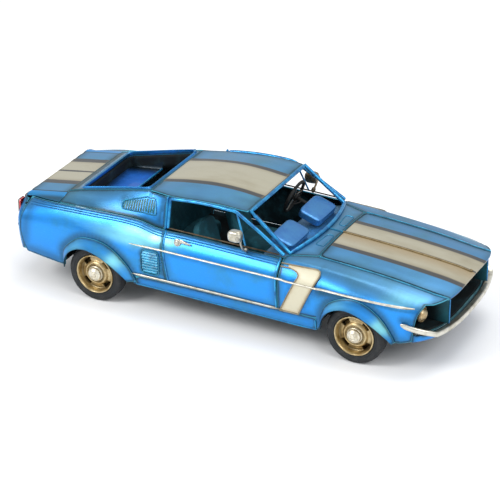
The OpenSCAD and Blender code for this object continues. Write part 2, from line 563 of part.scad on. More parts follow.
// ---- underside and running gear --------------------------------------------------------
pad_drop = 1.2;
bay_in_y = 42;
bay_half = 25;
module floor_pan() color(dark) in_frame() {
    right = [for (x = steps(-148, 130, 12)) [x, -side_y(x, floor_z) + sheet + 0.4]];
    difference() {
        translate([0, 0, floor_z]) linear_extrude(sheet + 0.4)
            polygon(concat(right, reversed([for (q = right) [q[0], -q[1]]])));
        for (x = axle_x, s = [-1, 1])
            translate([x - bay_half, s > 0 ? bay_in_y : -bay_in_y - 20, floor_z - 1])
                cube([2 * bay_half, 20, 4]);
    }
    translate([-frame_x - 35, -25, floor_z - pad_drop]) cube([70, 50, pad_drop + 0.2]);
}
ear_y = 36;
ear_t = 3;
ear_w = 11;
module bracket_ear() {
    rotate([90, 0, 0]) difference() {
        intersection() {
            translate([0, 0, -ear_t / 2]) cylinder(r = ear_w / 2, h = ear_t, $fn = 64);
            translate([-ear_w / 2, -ear_w / 2, -ear_t])
                cube([ear_w, ear_w / 2 + floor_z - axle_z - 0.02, 2 * ear_t]);
        }
        translate([0, 0, -ear_t]) cylinder(r = axle_r + axle_play, h = 2 * ear_t, $fn = 64);
    }
}
module axle_brackets() color(silver) in_frame()
    for (x = axle_x, s = [-1, 1]) translate([x, s * ear_y, axle_z]) bracket_ear();

hub_out_y = tyre_out_y - 2.2;
module axle_rod(x) {
    translate([x, hub_out_y, axle_z]) rotate([90, 0, 0]) cylinder(r = axle_r, h = 2 * hub_out_y, $fn = 64);
}
module front_axle() color(silver) in_frame() axle_rod(axle_x[1]);
module rear_axle() color(silver) in_frame() axle_rod(axle_x[0]);

// Wheel parts are turned about Z with the outer side up, then set on an axle end
module on_axle(x, s) translate([x, s * tyre_out_y, axle_z]) rotate([-90 * s, 0, 0]) children();
module tyre() {
    rotate_extrude($fn = 128) polygon([[rim_r, -tyre_w + 1], [rim_r + 2, -tyre_w], [tyre_r - 1.6, -tyre_w],
        [tyre_r - 0.4, -tyre_w + 0.7], [tyre_r, -tyre_w + 2], [tyre_r, -2], [tyre_r - 0.4, -0.7],
        [tyre_r - 1.6, 0], [rim_r + 1.5, 0], [rim_r, -0.8]]);
}
slot_r = 10.2;
module rim() {
    difference() {
        rotate_extrude($fn = 128) polygon([[axle_r + 0.02, -8], [4, -8], [4, -3.8], [7.6, -3.8], [11.6, -4.6],
            [12.4, -9], [12.4, -tyre_w + 1], [rim_r - 0.02, -tyre_w + 1], [rim_r - 0.02, 0.1],
            [13.2, 0.4], [12.4, -0.6], [11.2, -3.4], [8.8, -2.9], [7.4, -1.4], [6.4, -1.4], [6, -2.2],
            [axle_r + 0.02, -2.2]]);
        for (a = [45:90:315]) rotate([0, 0, a]) translate([slot_r, 0, -4]) cube([1.8, 5.4, 8], center = true);
    }
}
module hub_cap() {
    rotate_extrude($fn = 96) polygon([[0, -2.15], [5.4, -2.15], [5.4, -0.9], [4.6, 0], [4.4, 1], [3.6, 1.8],
                                      [2.2, 2.4], [0, 2.6]]);
}
module tyre_front_right() color(dark) in_frame() on_axle(axle_x[1], -1) tyre();
module tyre_front_left() color(dark) in_frame() on_axle(axle_x[1], 1) tyre();
module tyre_rear_right() color(dark) in_frame() on_axle(axle_x[0], -1) tyre();
module tyre_rear_left() color(dark) in_frame() on_axle(axle_x[0], 1) tyre();
module rim_front_right() color(brass) in_frame() on_axle(axle_x[1], -1) rim();
module rim_front_left() color(brass) in_frame() on_axle(axle_x[1], 1) rim();
module rim_rear_right() color(brass) in_frame() on_axle(axle_x[0], -1) rim();
module rim_rear_left() color(brass) in_frame() on_axle(axle_x[0], 1) rim();
module hub_cap_front_right() color(silver) in_frame() on_axle(axle_x[1], -1) hub_cap();
module hub_cap_front_left() color(silver) in_frame() on_axle(axle_x[1], 1) hub_cap();
module hub_cap_rear_right() color(silver) in_frame() on_axle(axle_x[0], -1) hub_cap();
module hub_cap_rear_left() color(silver) in_frame() on_axle(axle_x[0], 1) hub_cap();

floor_pan();
axle_brackets();
front_axle();
rear_axle();
tyre_front_right();
tyre_front_left();
tyre_rear_right();
tyre_rear_left();
rim_front_right();
rim_front_left();
rim_rear_right();
rim_rear_left();
hub_cap_front_right();
hub_cap_front_left();
hub_cap_rear_right();
hub_cap_rear_left();
quarter_panel_right();
quarter_panel_left();
door_right();
door_left();
fender_right();
fender_left();
rocker_right();
rocker_left();
roof_panel();
sail_panel_right();
sail_panel_left();
rear_window_frame();
parcel_tray();
trunk_lid();
tail_panel();
tail_lights();
rear_bumper();
cowl_panel();
hood();
hood_rib();
grille_shell();
headlights();
front_valance();
front_bumper();
flare_front_right();
flare_front_left();
flare_rear_right();
flare_rear_left();
belt_mouldings();
side_trims();
side_stripes();
side_louvres();
sail_vents();
door_mirrors();
door_handles();
window_frame_right();
window_frame_left();
windshield_frame();
dashboard();
steering_column();
steering_wheel();
front_seats();
rear_seat();
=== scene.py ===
# Looks of a tinplate fastback coupe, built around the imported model.
# Shapes are worked out in millimetres in the car's own coordinates (X from the middle of the
# wheelbase, right side at -Y) and written into the frame in metres.
import json
import math
import bpy
from mathutils import Matrix, Vector


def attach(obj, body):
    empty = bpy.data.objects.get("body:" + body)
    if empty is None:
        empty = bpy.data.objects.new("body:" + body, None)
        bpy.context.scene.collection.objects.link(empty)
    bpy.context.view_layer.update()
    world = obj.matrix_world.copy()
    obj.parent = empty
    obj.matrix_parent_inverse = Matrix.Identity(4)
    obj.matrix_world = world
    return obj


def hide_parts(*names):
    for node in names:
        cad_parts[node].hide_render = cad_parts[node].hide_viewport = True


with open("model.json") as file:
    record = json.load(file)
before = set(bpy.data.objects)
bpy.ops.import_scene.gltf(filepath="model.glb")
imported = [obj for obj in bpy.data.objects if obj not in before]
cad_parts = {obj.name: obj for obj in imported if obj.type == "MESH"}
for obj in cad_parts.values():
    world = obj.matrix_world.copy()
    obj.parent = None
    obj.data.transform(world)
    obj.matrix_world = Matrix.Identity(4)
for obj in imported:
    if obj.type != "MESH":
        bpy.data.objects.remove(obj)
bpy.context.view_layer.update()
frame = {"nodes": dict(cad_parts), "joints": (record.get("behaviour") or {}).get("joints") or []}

# ---- camera, light and floor ----
MM = 0.001
JOINTS = {j["name"]: Vector(j["pos_m"]) / MM for j in frame["joints"]}
AXLE_X = {"front": 95.0, "rear": -95.0}
FRAME_X = (JOINTS["front_axle_roll"].x + JOINTS["rear_axle_roll"].x) / 2
AXLE_Z = JOINTS["front_axle_roll"].z
# The camera was fitted to the photograph with the half-track assumed to be 57 mm, because the photograph
# alone doesn't fix the width.
CAMERA_AZIMUTH = math.radians(26.775)
CAMERA_ELEVATION = math.radians(26.783)
CAMERA_DISTANCE = 1.4740
CAMERA_TARGET = Vector((FRAME_X - 6.97, 0, 32.63)) * MM
LENS = 158.33
SKY_COLOR, SKY_STRENGTH = (0.93, 0.96, 1.0, 1), 0.66
# name, azimuth and elevation in degrees, distance, width and height in metres, power in watts
SOFT_BOXES = [("key_left", -38, 40, 1.3, 0.6, 0.45, 8.5), ("fill_right", 62, 40, 1.4, 0.7, 0.5, 6),
              ("top", 150, 72, 1.5, 1.0, 0.8, 9)]


def direction(azimuth, elevation):
    """Unit vector from the object to a camera or lamp; azimuth 0 looks at the right side."""
    flat = math.cos(elevation)
    return Vector((math.sin(azimuth) * flat, -math.cos(azimuth) * flat, math.sin(elevation)))


def look_along(obj, towards):
    """Turns a camera or a lamp so that it looks along a direction."""
    obj.rotation_mode = "QUATERNION"
    obj.rotation_quaternion = towards.to_track_quat("-Z", "Y")


def make_camera():
    data = bpy.data.cameras.new("camera")
    data.lens = LENS
    data.sensor_fit = "HORIZONTAL"
    data.clip_start = 0.05
    data.clip_end = 50
    camera = bpy.data.objects.new("camera", data)
    bpy.context.scene.collection.objects.link(camera)
    back = direction(CAMERA_AZIMUTH, CAMERA_ELEVATION)
    camera.location = CAMERA_TARGET + back * CAMERA_DISTANCE
    look_along(camera, -back)
    bpy.context.scene.camera = camera


def soft_box(name, azimuth, elevation, distance, width, height, power):
    data = bpy.data.lights.new(name, "AREA")
    data.shape = "RECTANGLE"
    data.size = width
    data.size_y = height
    data.energy = power
    lamp = bpy.data.objects.new(name, data)
    bpy.context.scene.collection.objects.link(lamp)
    away = direction(math.radians(azimuth), math.radians(elevation))
    lamp.location = away * distance
    look_along(lamp, -away)


def make_studio():
    scene = bpy.context.scene
    scene.view_settings.view_transform = "Standard"
    world = bpy.data.worlds.new("studio")
    scene.world = world
    world.use_nodes = True
    world.node_tree.nodes["Background"].inputs["Color"].default_value = SKY_COLOR
    world.node_tree.nodes["Background"].inputs["Strength"].default_value = SKY_STRENGTH
    for settings in SOFT_BOXES:
        soft_box(*settings)


# ---- shape of the body: the same curves as the part's source ----
SHEET = 0.8
SEAM = 0.3
WAIST_Z = 44
TUCK = 2.5
HOOD_Y = 36
ROCKER_TOP_Z = 26
STRIPE_Y = 17.6
LIP_MID_X, LIP_SWEEP, LIP_HALF_Y = 153.5, 13.3, 49
FENDER_END_X, FENDER_TOP_Y = 141, 47.5
BELT_Z = [(-152, 59.9), (-125, 62.8), (-95, 64.4), (-76, 64.8), (-62, 63.8), (-49, 60.9),
          (-30, 60.7), (10, 59.8), (66, 58), (109, 54.2), (141, 49)]
BELT_Y = [(-152, 41.5), (-138, 46), (-125, 48.2), (-90, 50), (-45, 48.5), (40, 48), (75, 47.5), (141, 47.5)]
WAIST_Y = [(-155, 53.5), (-130, 56), (-95, 58), (-40, 57), (60, 57), (95, 58), (125, 56.5), (141, 53)]
BOTTOM_Z = [(-151, 23.5), (-119, 21), (-66, 19.4), (21, 17.3), (66, 16.8), (119, 20.8),
            (135, 22.8), (143, 25)]
HOOD_Z = [(40, 61.9), (61, 61.3), (105, 58.6), (140, 55), (153.5, 52.4)]
ROOF_MID = [(-62, 80.6), (-42, 84.6), (-22, 86.6), (-5, 86), (13, 83.9)]
ROOF_EDGE = [(-62, 80.6), (-40, 81.8), (-20, 83.4), (-4, 84), (13, 83.2)]
ROOF_Y = [(-128, 35.6), (-61, 36.5), (-45, 40), (-20, 41.3), (5, 42), (13, 41)]
SAIL_Z = [(-128, 65.8), (-115, 69.3), (-61, 80.8), (-46, 81.6)]
FENDER_FRONT = [(20, 132.5), (30, 134.2), (38, 135.6), (44, 137.2), (50, 140.2)]
TAIL_BULGE = [(23, -149.5), (31, -153), (42, -154.5), (52, -153), (61, -149.8)]
ARCH_IN = [(0, 28), (18, 22), (40, 18.5), (62, 17.4), (85, 18.3), (105, 20), (125, 21.5),
           (145, 22.6), (165, 22.8), (180, 22.6)]
ARCH_OUT_FRONT = [(0, 28.4), (20, 26.4), (50, 26), (90, 27.1), (115, 27.1), (132, 27),
                  (155, 25.2), (180, 24)]
ARCH_OUT_REAR = [(0, 32), (20, 30), (40, 28.2), (60, 27.8), (90, 27.5), (110, 28),
                 (130, 27.2), (150, 27), (167, 24.4), (180, 24)]


def lerp(a, b, t):
    return a + (b - a) * t


def steps(a, b, n):
    return [lerp(a, b, i / n) for i in range(n + 1)]


def unit(value):
    """The value held between 0 and 1."""
    return min(1.0, max(0.0, value))


def full_turn(n):
    """n angles evenly round a circle."""
    return [2 * math.pi * k / n for k in range(n)]


def slope(knots, i):
    a, b = knots[max(i - 1, 0)], knots[min(i + 1, len(knots) - 1)]
    return (b[1] - a[1]) / (b[0] - a[0])


def curve(knots, x):
    """Height of the smooth curve through the knots at x."""
    last = len(knots) - 2
    i = next((i for i in range(last) if x < knots[i + 1][0]), last)
    (x0, y0), (x1, y1) = knots[i], knots[i + 1]
    t = unit((x - x0) / (x1 - x0))
    bend = slope(knots, i) * (1 - t) - slope(knots, i + 1) * t
    return lerp(y0, y1, t * t * (3 - 2 * t)) + (x1 - x0) * t * (1 - t) * bend


def belt_z(x):
    return curve(BELT_Z, x)


def belt_y(x):
    return curve(BELT_Y, x)


def bottom_z(x):
    return curve(BOTTOM_Z, x)


def top_z(x, y):
    """Height of the hood, the cowl and the tops of the fenders."""
    middle = curve(HOOD_Z, x)
    drop = middle - belt_z(min(x, FENDER_END_X))
    return middle - drop * (abs(y) / FENDER_TOP_Y) ** 2.4


def lip_x(y):
    return LIP_MID_X - LIP_SWEEP * (abs(y) / LIP_HALF_Y) ** 5


def roof_y(x):
    return curve(ROOF_Y, x)


def roof_z(x, y):
    edge, middle = curve(ROOF_EDGE, x), curve(ROOF_MID, x)
    return edge + (middle - edge) * (1 - min(abs(y) / roof_y(x), 1) ** 2)


def side_y(x, z):
    """Half width of the body side at a height."""
    wide = curve(WAIST_Y, x)
    if z > WAIST_Z:
        up = (z - WAIST_Z) / (belt_z(x) - WAIST_Z)
        return wide - (wide - belt_y(x)) * min(up, 1.1) ** 2.2
    return wide - TUCK * ((WAIST_Z - z) / 25) ** 2


def side_pt(x, z, off=0.0):
    """Point on the right side of the body, off millimetres proud of it."""
    return Vector((x, -(side_y(x, z) + off), z))


def arch_point(axle_x, knots, angle, extra=0.0):
    r = curve(knots, angle) + extra
    return axle_x + r * math.cos(math.radians(angle)), AXLE_Z + r * math.sin(math.radians(angle))


# ---- mesh building ----
FAR = 12.0


def walk(points):
    """Distance along a line of points, from its start and from its end, for each point."""
    run = [0.0]
    for a, b in zip(points, points[1:]):
        run.append(run[-1] + (Vector(b) - Vector(a)).length)
    return [(r, run[-1] - r) for r in run]


class Shape:
    """Points in millimetres, faces, and each point's distance to a free edge."""

    def __init__(self):
        self.points = []
        self.faces = []
        self.edge = []

    def add(self, points, faces, edge=None):
        first = len(self.points)
        self.points += [Vector(p) for p in points]
        self.faces += [[first + i for i in f] for f in faces]
        self.edge += edge or [FAR] * len(points)
        return self

    def grid(self, rows, around=False, along=False, worn=True):
        """A surface through rows of points. around closes each row, along joins the last to the first."""
        n, m = len(rows), len(rows[0])
        faces = []
        for i in range(n if along else n - 1):
            for j in range(m if around else m - 1):
                k, l = (i + 1) % n, (j + 1) % m
                faces.append([i * m + j, k * m + j, k * m + l, i * m + l])
        edge = [FAR] * (n * m)
        if worn:
            lines = [walk(r) for r in rows]
            columns = [walk([r[j] for r in rows]) for j in range(m)]
            for i in range(n):
                for j in range(m):
                    ways = [FAR]
                    ways += [] if around else lines[i][j]
                    ways += [] if along else columns[j][i]
                    edge[i * m + j] = min(ways)
        return self.add([p for r in rows for p in r], faces, edge)

    def join(self, other):
        return self.add(other.points, other.faces, other.edge)

    def lid(self, ring_start, count, flip=False):
        """Closes a ring of points, already added, with one face."""
        ring = list(range(ring_start, ring_start + count))
        self.faces.append(ring[::-1] if flip else ring)
        return self

    def tube(self, path, radius, sides=12, closed=False, flat=1.0, up=None):
        """A round wire along a path, with rounded ends. flat squeezes it across the up direction."""
        path = [Vector(p) for p in path]
        n = len(path)
        rings = []
        side = None
        for i, p in enumerate(path):
            a = path[i - 1] if i or closed else p
            b = path[(i + 1) % n] if i < n - 1 or closed else p
            t = (b - a).normalized()
            if up is not None:
                side = Vector(up).cross(t).normalized()
            elif side is None:
                guess = Vector((0, 0, 1)) if abs(t.z) < 0.9 else Vector((1, 0, 0))
                side = guess.cross(t).normalized()
            else:
                side = (side - t * side.dot(t)).normalized()
            rings.append((p, t, side, t.cross(side)))
        ends = [] if closed else [0, n - 1]
        rows = []
        for i, (p, t, u, w) in enumerate(rings):
            shapes = [(0.0, 1.0)]
            if i in ends:
                out = -1 if i == 0 else 1
                shapes = [(out * 0.9, 0.3), (out * 0.55, 0.8), (0.0, 1.0)]
                shapes = shapes if i == 0 else shapes[::-1]
            for push, size in shapes:
                rows.append([p + t * radius * push + (u * math.cos(a) * flat + w * math.sin(a))
                             * radius * size for a in full_turn(sides)])
        first = len(self.points)
        self.grid(rows, around=True, along=closed, worn=False)
        if not closed:
            self.lid(first, sides, flip=False)
            self.lid(first + (len(rows) - 1) * sides, sides, flip=True)
        return self

    def lathe(self, profile, place, segments=96, shape=None):
        """Turns a profile of (radius, height) pairs about Z, then puts it where place says."""
        rows = []
        for a in full_turn(segments):
            rows.append([place @ Vector((r * math.cos(a), r * math.sin(a), h
                                         + (shape(r, a) if shape else 0))) for r, h in profile])
        return self.grid(rows, around=False, along=True, worn=False)

    def mirrored(self):
        other = Shape()
        other.points = [Vector((p.x, -p.y, p.z)) for p in self.points]
        other.faces = [f[::-1] for f in self.faces]
        other.edge = list(self.edge)
        return other

    def both(self):
        """This shape and its mirror image in one."""
        twin = self.mirrored()
        return self.join(twin)


def face_out(shape, outside):
    """Turns all faces over if most of them look away from the outside direction."""
    total = Vector()
    for f in shape.faces:
        p = [shape.points[i] for i in f]
        total += (p[2] - p[0]).cross(p[-1] - p[1])
    if total.dot(Vector(outside)) < 0:
        shape.faces = [f[::-1] for f in shape.faces]
    return shape


def sheet(rows, outside, **how):
    """A surface through rows of points that looks outside."""
    return face_out(Shape().grid(rows, **how), outside)


def airbrush_and_painted_light_at(p):
    """How light the paint is at a point, partly the model's own airbrushing and partly painted highlight
    and painted shade: 1 is the palest, -1 the darkest.
    """
    def spot(cx, cz, rx, rz):
        return math.exp(-(((p.x - cx) / rx) ** 2 + ((p.z - cz) / rz) ** 2))
    # Tops: painted light on the roof and the deck, painted shade on the hood.
    if abs(p.y) < 43 or p.z > 66:
        return 0.2 if p.x < 14 else -0.07
    # Sides: painted highlights on the haunch, door and fender shoulder; painted shade low on the quarter
    # and under the chrome strip.
    haunch = 0.95 * spot(-60, 54, 22, 6.5) + 0.3 * spot(-95, 56, 26, 7)
    door = 0.15 * spot(-20, 54.5, 30, 4.5) - 0.28 * spot(12, 53.5, 22, 4)
    shoulder = 0.45 * spot(122, 49, 16, 5)
    low = -0.25 * spot(-130, 30, 26, 12) + 0.12 * spot(0, 22, 70, 5)
    under_strip = -0.5 * spot(72, 45, 14, 5)
    return max(-1, min(1, haunch + door + shoulder + low + under_strip))


def near(p, line, reach, strength=1.0):
    """How much of the painted shade beside a line on the side of the car reaches a point."""
    gap = min((p.x - x) ** 2 + (p.z - z) ** 2 for x, z in line)
    return strength * math.exp(-gap / reach ** 2)


def shade_lines():
    """Lines on the sides that the painted shade follows: (points, reach, strength)."""
    arches = [([arch_point(AXLE_X[axle], knots, a, 1.0) for a in steps(176, 4, 30)], 3.4, 0.85)
              for axle, knots in (("front", ARCH_OUT_FRONT), ("rear", ARCH_OUT_REAR))]
    return arches + [
        ([(x, lerp(49.7, 47.3, (x + 67) / 202) - 1.6) for x in steps(-66, 134, 100)], 1.5, 0.4),
        ([(x, lerp(27.7, 26.7, (x + 66) / 108) - 1.2) for x in steps(-66, 42, 50)], 1.3, 0.6),
        ([(x, 46.2) for x in steps(70, 92, 12)], 3.2, 0.9),
        ([(x, belt_z(x) - 1.2) for x in steps(68, 132, 30)], 2.0, 0.35),
        ([(LOUVRE_X + a, LOUVRE_Z + b) for a, b in rounded_frame(6.9, 9.3, 0.4, 40)], 1.7, 0.7),
        ([(LOUVRE_X + 8.6, z) for z in steps(28, 47, 12)], 1.5, 0.75),
        ([(plate_right(z) + 1.6, z) for z in steps(PLATE_LOW_Z, PLATE_TOP_Z, 16)], 1.5, 0.5),
        ([(plate_left(z) - 1.6, z) for z in steps(PLATE_LOW_Z, 52, 12)], 1.5, 0.5),
        ([(HANDLE_X + x, HANDLE_Z - 0.6) for x in steps(-1, 9, 6)], 3.0, 0.45),
        ([(-152 + 4 * t, lerp(26, 54, t)) for t in steps(0, 1, 12)], 4.5, 0.6),
        ([(x, bottom_z(x) + 3) for x in steps(-148, -120, 12)], 4.0, 0.6),
        ([(x, bottom_z(x) + 2) for x in steps(122, 142, 8)], 4.5, 0.5),
        ([(x, 39) for x in steps(128, 141, 6)], 3.2, 0.7)]


def side_shade(p):
    """Painted shade at a point of the body's side."""
    if abs(p.y) < 38 or p.z > belt_z(p.x) + 1.5:
        return 0.0
    return min(1.0, max(near(p, *line) for line in SHADE_LINES))


# Faces that meet at more than this angle keep a sharp edge
CREASE = math.radians(32)


def piece(name, shape, look, body="body", nodes=(), slot=None, thick=None, bevel=None, lined=False,
          shade=None, airbrush_and_painted_light=airbrush_and_painted_light_at):
    """Makes a Blender object of a shape and puts it on its body.

    look names its material; slot is not used. lined sheets are dark inside.
    """
    mesh = bpy.data.meshes.new(name)
    mesh.from_pydata([((p.x + FRAME_X) * MM, p.y * MM, p.z * MM) for p in shape.points], [], shape.faces)
    mesh.validate()
    mesh.update()
    shades = [shade(p) if shade else 0.0 for p in shape.points]
    for label, values in (("edge", shape.edge), ("airbrush_and_painted_light", [airbrush_and_painted_light(p) for p in shape.points]),
                          ("shade", shades)):
        mesh.attributes.new(label, "FLOAT", "POINT").data.foreach_set("value", values)
    mesh.polygons.foreach_set("use_smooth", [True] * len(mesh.polygons))
    if thick is None:
        mesh.set_sharp_from_angle(angle=CREASE)
    obj = bpy.data.objects.new(name, mesh)
    bpy.context.scene.collection.objects.link(obj)
    mesh.materials.append(MATERIALS[look])
    if thick:
        solid = obj.modifiers.new("sheet", "SOLIDIFY")
        solid.thickness = thick * MM
        solid.offset = -1
        solid.use_even_offset = False
        if lined:
            mesh.materials.append(MATERIALS["inside"])
            solid.material_offset = 1
    if bevel:
        soft = obj.modifiers.new("rounded", "BEVEL")
        soft.width = bevel * MM
        soft.segments = 3
        soft.limit_method = "ANGLE"
        soft.angle_limit = CREASE
        soft.harden_normals = False
        obj.modifiers.new("normals", "WEIGHTED_NORMAL").keep_sharp = True
    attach(obj, body)
    if nodes:
        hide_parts(*nodes)


def panel(name, shape, look, node, bevel=0.3, **how):
    """A painted metal sheet that stands in for one CAD node; its back is dark."""
    piece(name, shape, look, nodes=[node], thick=SHEET, bevel=bevel, lined=True, **how)


def smooth_path(points, n, closed=False):
    """Points of a smooth curve through a few given ones, n to each stretch."""
    p = [Vector(q) for q in points]
    count = len(p) if closed else len(p) - 1
    out = []
    for i in range(count):
        a = p[i - 1] if i or closed else p[0] * 2 - p[1]
        b, c = p[i], p[(i + 1) % len(p)]
        d = p[(i + 2) % len(p)] if i + 2 < len(p) or closed else p[-1] * 2 - p[-2]
        for t in (k / n for k in range(n)):
            out.append(0.5 * (2 * b + (c - a) * t + (2 * a - 5 * b + 4 * c - d) * t * t
                              + (3 * b - a - 3 * c + d) * t ** 3))
    return out if closed else out + [p[-1]]


def round_corners(corners, radius, n=6, closed=True):
    """A line through corners, each one cut by a small arc."""
    p = [Vector(q) for q in corners]
    out = []
    for i, q in enumerate(p):
        if not closed and i in (0, len(p) - 1):
            out.append(q)
            continue
        a, b = p[i - 1] - q, p[(i + 1) % len(p)] - q
        cut = min(radius, a.length * 0.45, b.length * 0.45)
        start, end = q + a.normalized() * cut, q + b.normalized() * cut
        for t in (k / n for k in range(n + 1)):
            out.append(start * (1 - t) ** 2 + q * (2 * t * (1 - t)) + end * t * t)
    return out


# ---- materials ----
class Paint:
    """A node material with short helpers; points are the car's own, in millimetres."""

    def __init__(self, name):
        self.material = bpy.data.materials.new(name)
        self.material.use_nodes = True
        self.tree = self.material.node_tree
        self.shader = self.tree.nodes["Principled BSDF"]
        coords = self.node("ShaderNodeTexCoord").outputs["Object"]
        scaled = self.node("ShaderNodeVectorMath", operation="SCALE")
        scaled.inputs["Scale"].default_value = 1 / MM
        self.tree.links.new(coords, scaled.inputs[0])
        self.where = scaled.outputs[0]
        axes = self.node("ShaderNodeSeparateXYZ")
        self.tree.links.new(self.where, axes.inputs[0])
        self.x, self.y, self.z = axes.outputs

    def node(self, kind, **settings):
        made = self.tree.nodes.new(kind)
        for key, value in settings.items():
            setattr(made, key, value)
        return made

    def feed(self, socket, value):
        if isinstance(value, bpy.types.NodeSocket):
            self.tree.links.new(value, socket)
        else:
            socket.default_value = value

    def set(self, **values):
        """Sets the shader's own inputs; underscores stand for spaces."""
        for key, value in values.items():
            self.feed(self.shader.inputs[key.replace("_", " ")], value)

    def math(self, operation, a, b=0.0):
        made = self.node("ShaderNodeMath", operation=operation)
        for socket, value in zip(made.inputs, (a, b)):
            self.feed(socket, value)
        return made.outputs[0]

    def times(self, a, b):
        return self.math("MULTIPLY", a, b)

    def plus(self, a, b):
        return self.math("ADD", a, b)

    def rest(self, value):
        """One minus a value."""
        return self.math("SUBTRACT", 1.0, value)

    def swing(self, value, amount):
        """A noise moved to lie evenly about zero, then scaled."""
        return self.times(self.math("SUBTRACT", value, 0.5), amount)

    def ramp(self, value, low, high, out_low=0.0, out_high=1.0):
        made = self.node("ShaderNodeMapRange", interpolation_type="SMOOTHSTEP")
        for name, v in (("Value", value), ("From Min", low), ("From Max", high), ("To Min", out_low),
                        ("To Max", out_high)):
            self.feed(made.inputs[name], v)
        return made.outputs[0]

    def mix(self, factor, a, b):
        made = self.node("ShaderNodeMix", data_type="RGBA")
        self.feed(made.inputs["Factor"], factor)
        self.feed(made.inputs["A"], rgb(a))
        self.feed(made.inputs["B"], rgb(b))
        return made.outputs["Result"]

    def noise(self, size, detail=3.0, rough=0.5, stretch=(1, 1, 1)):
        """Noise whose blots are about size millimetres across."""
        place = self.node("ShaderNodeMapping")
        self.feed(place.inputs["Vector"], self.where)
        place.inputs["Scale"].default_value = [1 / (size * s) for s in stretch]
        made = self.node("ShaderNodeTexNoise")
        self.feed(made.inputs["Vector"], place.outputs[0])
        made.inputs["Scale"].default_value = 1.0
        made.inputs["Detail"].default_value = detail
        made.inputs["Roughness"].default_value = rough
        return made.outputs["Fac"]

    def attribute(self, name):
        return self.node("ShaderNodeAttribute", attribute_name=name).outputs["Fac"]

    def bump(self, height, millimetres, strength=1.0):
        made = self.node("ShaderNodeBump")
        made.inputs["Strength"].default_value = strength
        made.inputs["Distance"].default_value = millimetres * MM
        self.feed(made.inputs["Height"], height)
        self.feed(self.shader.inputs["Normal"], made.outputs[0])


def rgb(value):
    return (*value, 1.0) if isinstance(value, tuple) and len(value) == 3 else value


AZURE = (0.014, 0.275, 0.800)
SHADE_DEEP_BLUE = (0.010, 0.105, 0.330)
TEAL = (0.030, 0.225, 0.360)
# Greyer, darker blues of the painted shade on faces that look up
UPWARD_SHADE_BLUE = (0.088, 0.285, 0.500)
UPWARD_SHADE_TEAL = (0.080, 0.250, 0.370)
HIGHLIGHT_ICE = (0.260, 0.770, 0.900)
# Near-black and greenish colours of the painted shade in seams and along lines
CREVICE_SHADE = (0.010, 0.028, 0.026)
SHADE = (0.012, 0.050, 0.046)
CREAM = (0.345, 0.322, 0.238)
CREAM_WORN_AND_SHADE = (0.215, 0.178, 0.105)
BORDER = (0.036, 0.036, 0.034)
# Pale cyan of the pearl flecks and of the painted glint on sheet edges
CYAN_FLECK_AND_GLINT = (0.080, 0.520, 0.700)


def blue_coat(p):
    """Pearl blue paint: teal tints, airbrushing with painted highlights and painted shade, and a painted
    shade near seams.
    """
    cloud = p.noise(26, 4, 0.55)
    fleck = p.noise(0.7, 2, 0.6)
    streak = p.noise(7, 4, 0.6, (4, 1, 1))
    airbrush_and_painted_light = p.attribute("airbrush_and_painted_light")
    color = p.mix(p.times(p.ramp(cloud, 0.42, 0.8), 0.8), AZURE, TEAL)
    # Painted shade on faces that look up: a greyer, darker blue than on the sides.
    facing_up = p.node("ShaderNodeSeparateXYZ")
    p.tree.links.new(p.node("ShaderNodeNewGeometry").outputs["True Normal"], facing_up.inputs[0])
    top = p.times(p.ramp(facing_up.outputs["Z"], 0.55, 0.92), 0.9)
    color = p.mix(top, color, p.mix(p.ramp(cloud, 0.4, 0.75), UPWARD_SHADE_BLUE, UPWARD_SHADE_TEAL))
    # Where the airbrush and painted light runs below zero, the paint darkens to a painted shade of deep
    # blue.
    color = p.mix(p.times(p.ramp(p.math("SUBTRACT", 0.0, airbrush_and_painted_light), 0.0, 1.0), 0.85), color, SHADE_DEEP_BLUE)
    # Painted highlight: pale ice blue where the airbrush and painted light is high, broken up by streaks.
    highlight = p.plus(airbrush_and_painted_light, p.swing(streak, 0.35))
    color = p.mix(p.ramp(highlight, 0.1, 0.95), color, HIGHLIGHT_ICE)
    color = p.mix(p.times(p.ramp(fleck, 0.55, 0.75), 0.18), color, CYAN_FLECK_AND_GLINT)
    # Painted shade: dark close to the sheet's free edges and seams, softer further in, and along the lines
    # the shade attribute gives.
    edge = p.attribute("edge")
    ragged = p.plus(edge, p.swing(p.noise(5, 5, 0.65), 2.2))
    dark = p.rest(p.ramp(ragged, 0.5, 2.2))
    soft = p.rest(p.ramp(p.plus(edge, p.times(cloud, 3.0)), 1.5, 9.0))
    shade = p.math("MAXIMUM", p.times(soft, 0.5), p.attribute("shade"))
    color = p.mix(p.times(shade, 0.88), color, SHADE)
    color = p.mix(p.times(dark, 0.72), color, CREVICE_SHADE)
    # Painted highlight: a pale cyan glint on the sheet's very edges.
    rim = p.rest(p.ramp(edge, 0.05, 0.35))
    color = p.mix(p.times(rim, 0.6), color, CYAN_FLECK_AND_GLINT)
    return color, dark, streak, fleck


def finish_blue(p, color, dark, streak, fleck):
    p.set(Base_Color=color, Metallic=0.78, Coat_Weight=0.32, Coat_Roughness=0.2, Coat_IOR=1.45)
    p.set(Roughness=p.plus(p.ramp(streak, 0.3, 0.75, 0.3, 0.42), p.times(dark, 0.2)))
    relief = p.plus(p.noise(14, 2, 0.5), p.times(fleck, 0.05))
    p.bump(relief, 0.5, 0.35)
    return p.material


def blue_paint():
    p = Paint("pearl_blue")
    return finish_blue(p, *blue_coat(p))


def cream_coat(p, light=1.0):
    """Aged cream with gold-brown shading."""
    age = p.noise(16, 5, 0.6, (2.5, 1, 1))
    grain = p.noise(1.1, 3, 0.6)
    pale, worn = (tuple(min(0.8, c * light) for c in shade) for shade in (CREAM, CREAM_WORN_AND_SHADE))
    color = p.mix(p.times(p.ramp(age, 0.45, 0.8), 0.55), pale, worn)
    return p.mix(p.times(p.ramp(grain, 0.6, 0.8), 0.25), color, worn)


GOLD_WASH = (0.270, 0.180, 0.075)
FLANK_BLUE = (0.020, 0.330, 0.760)


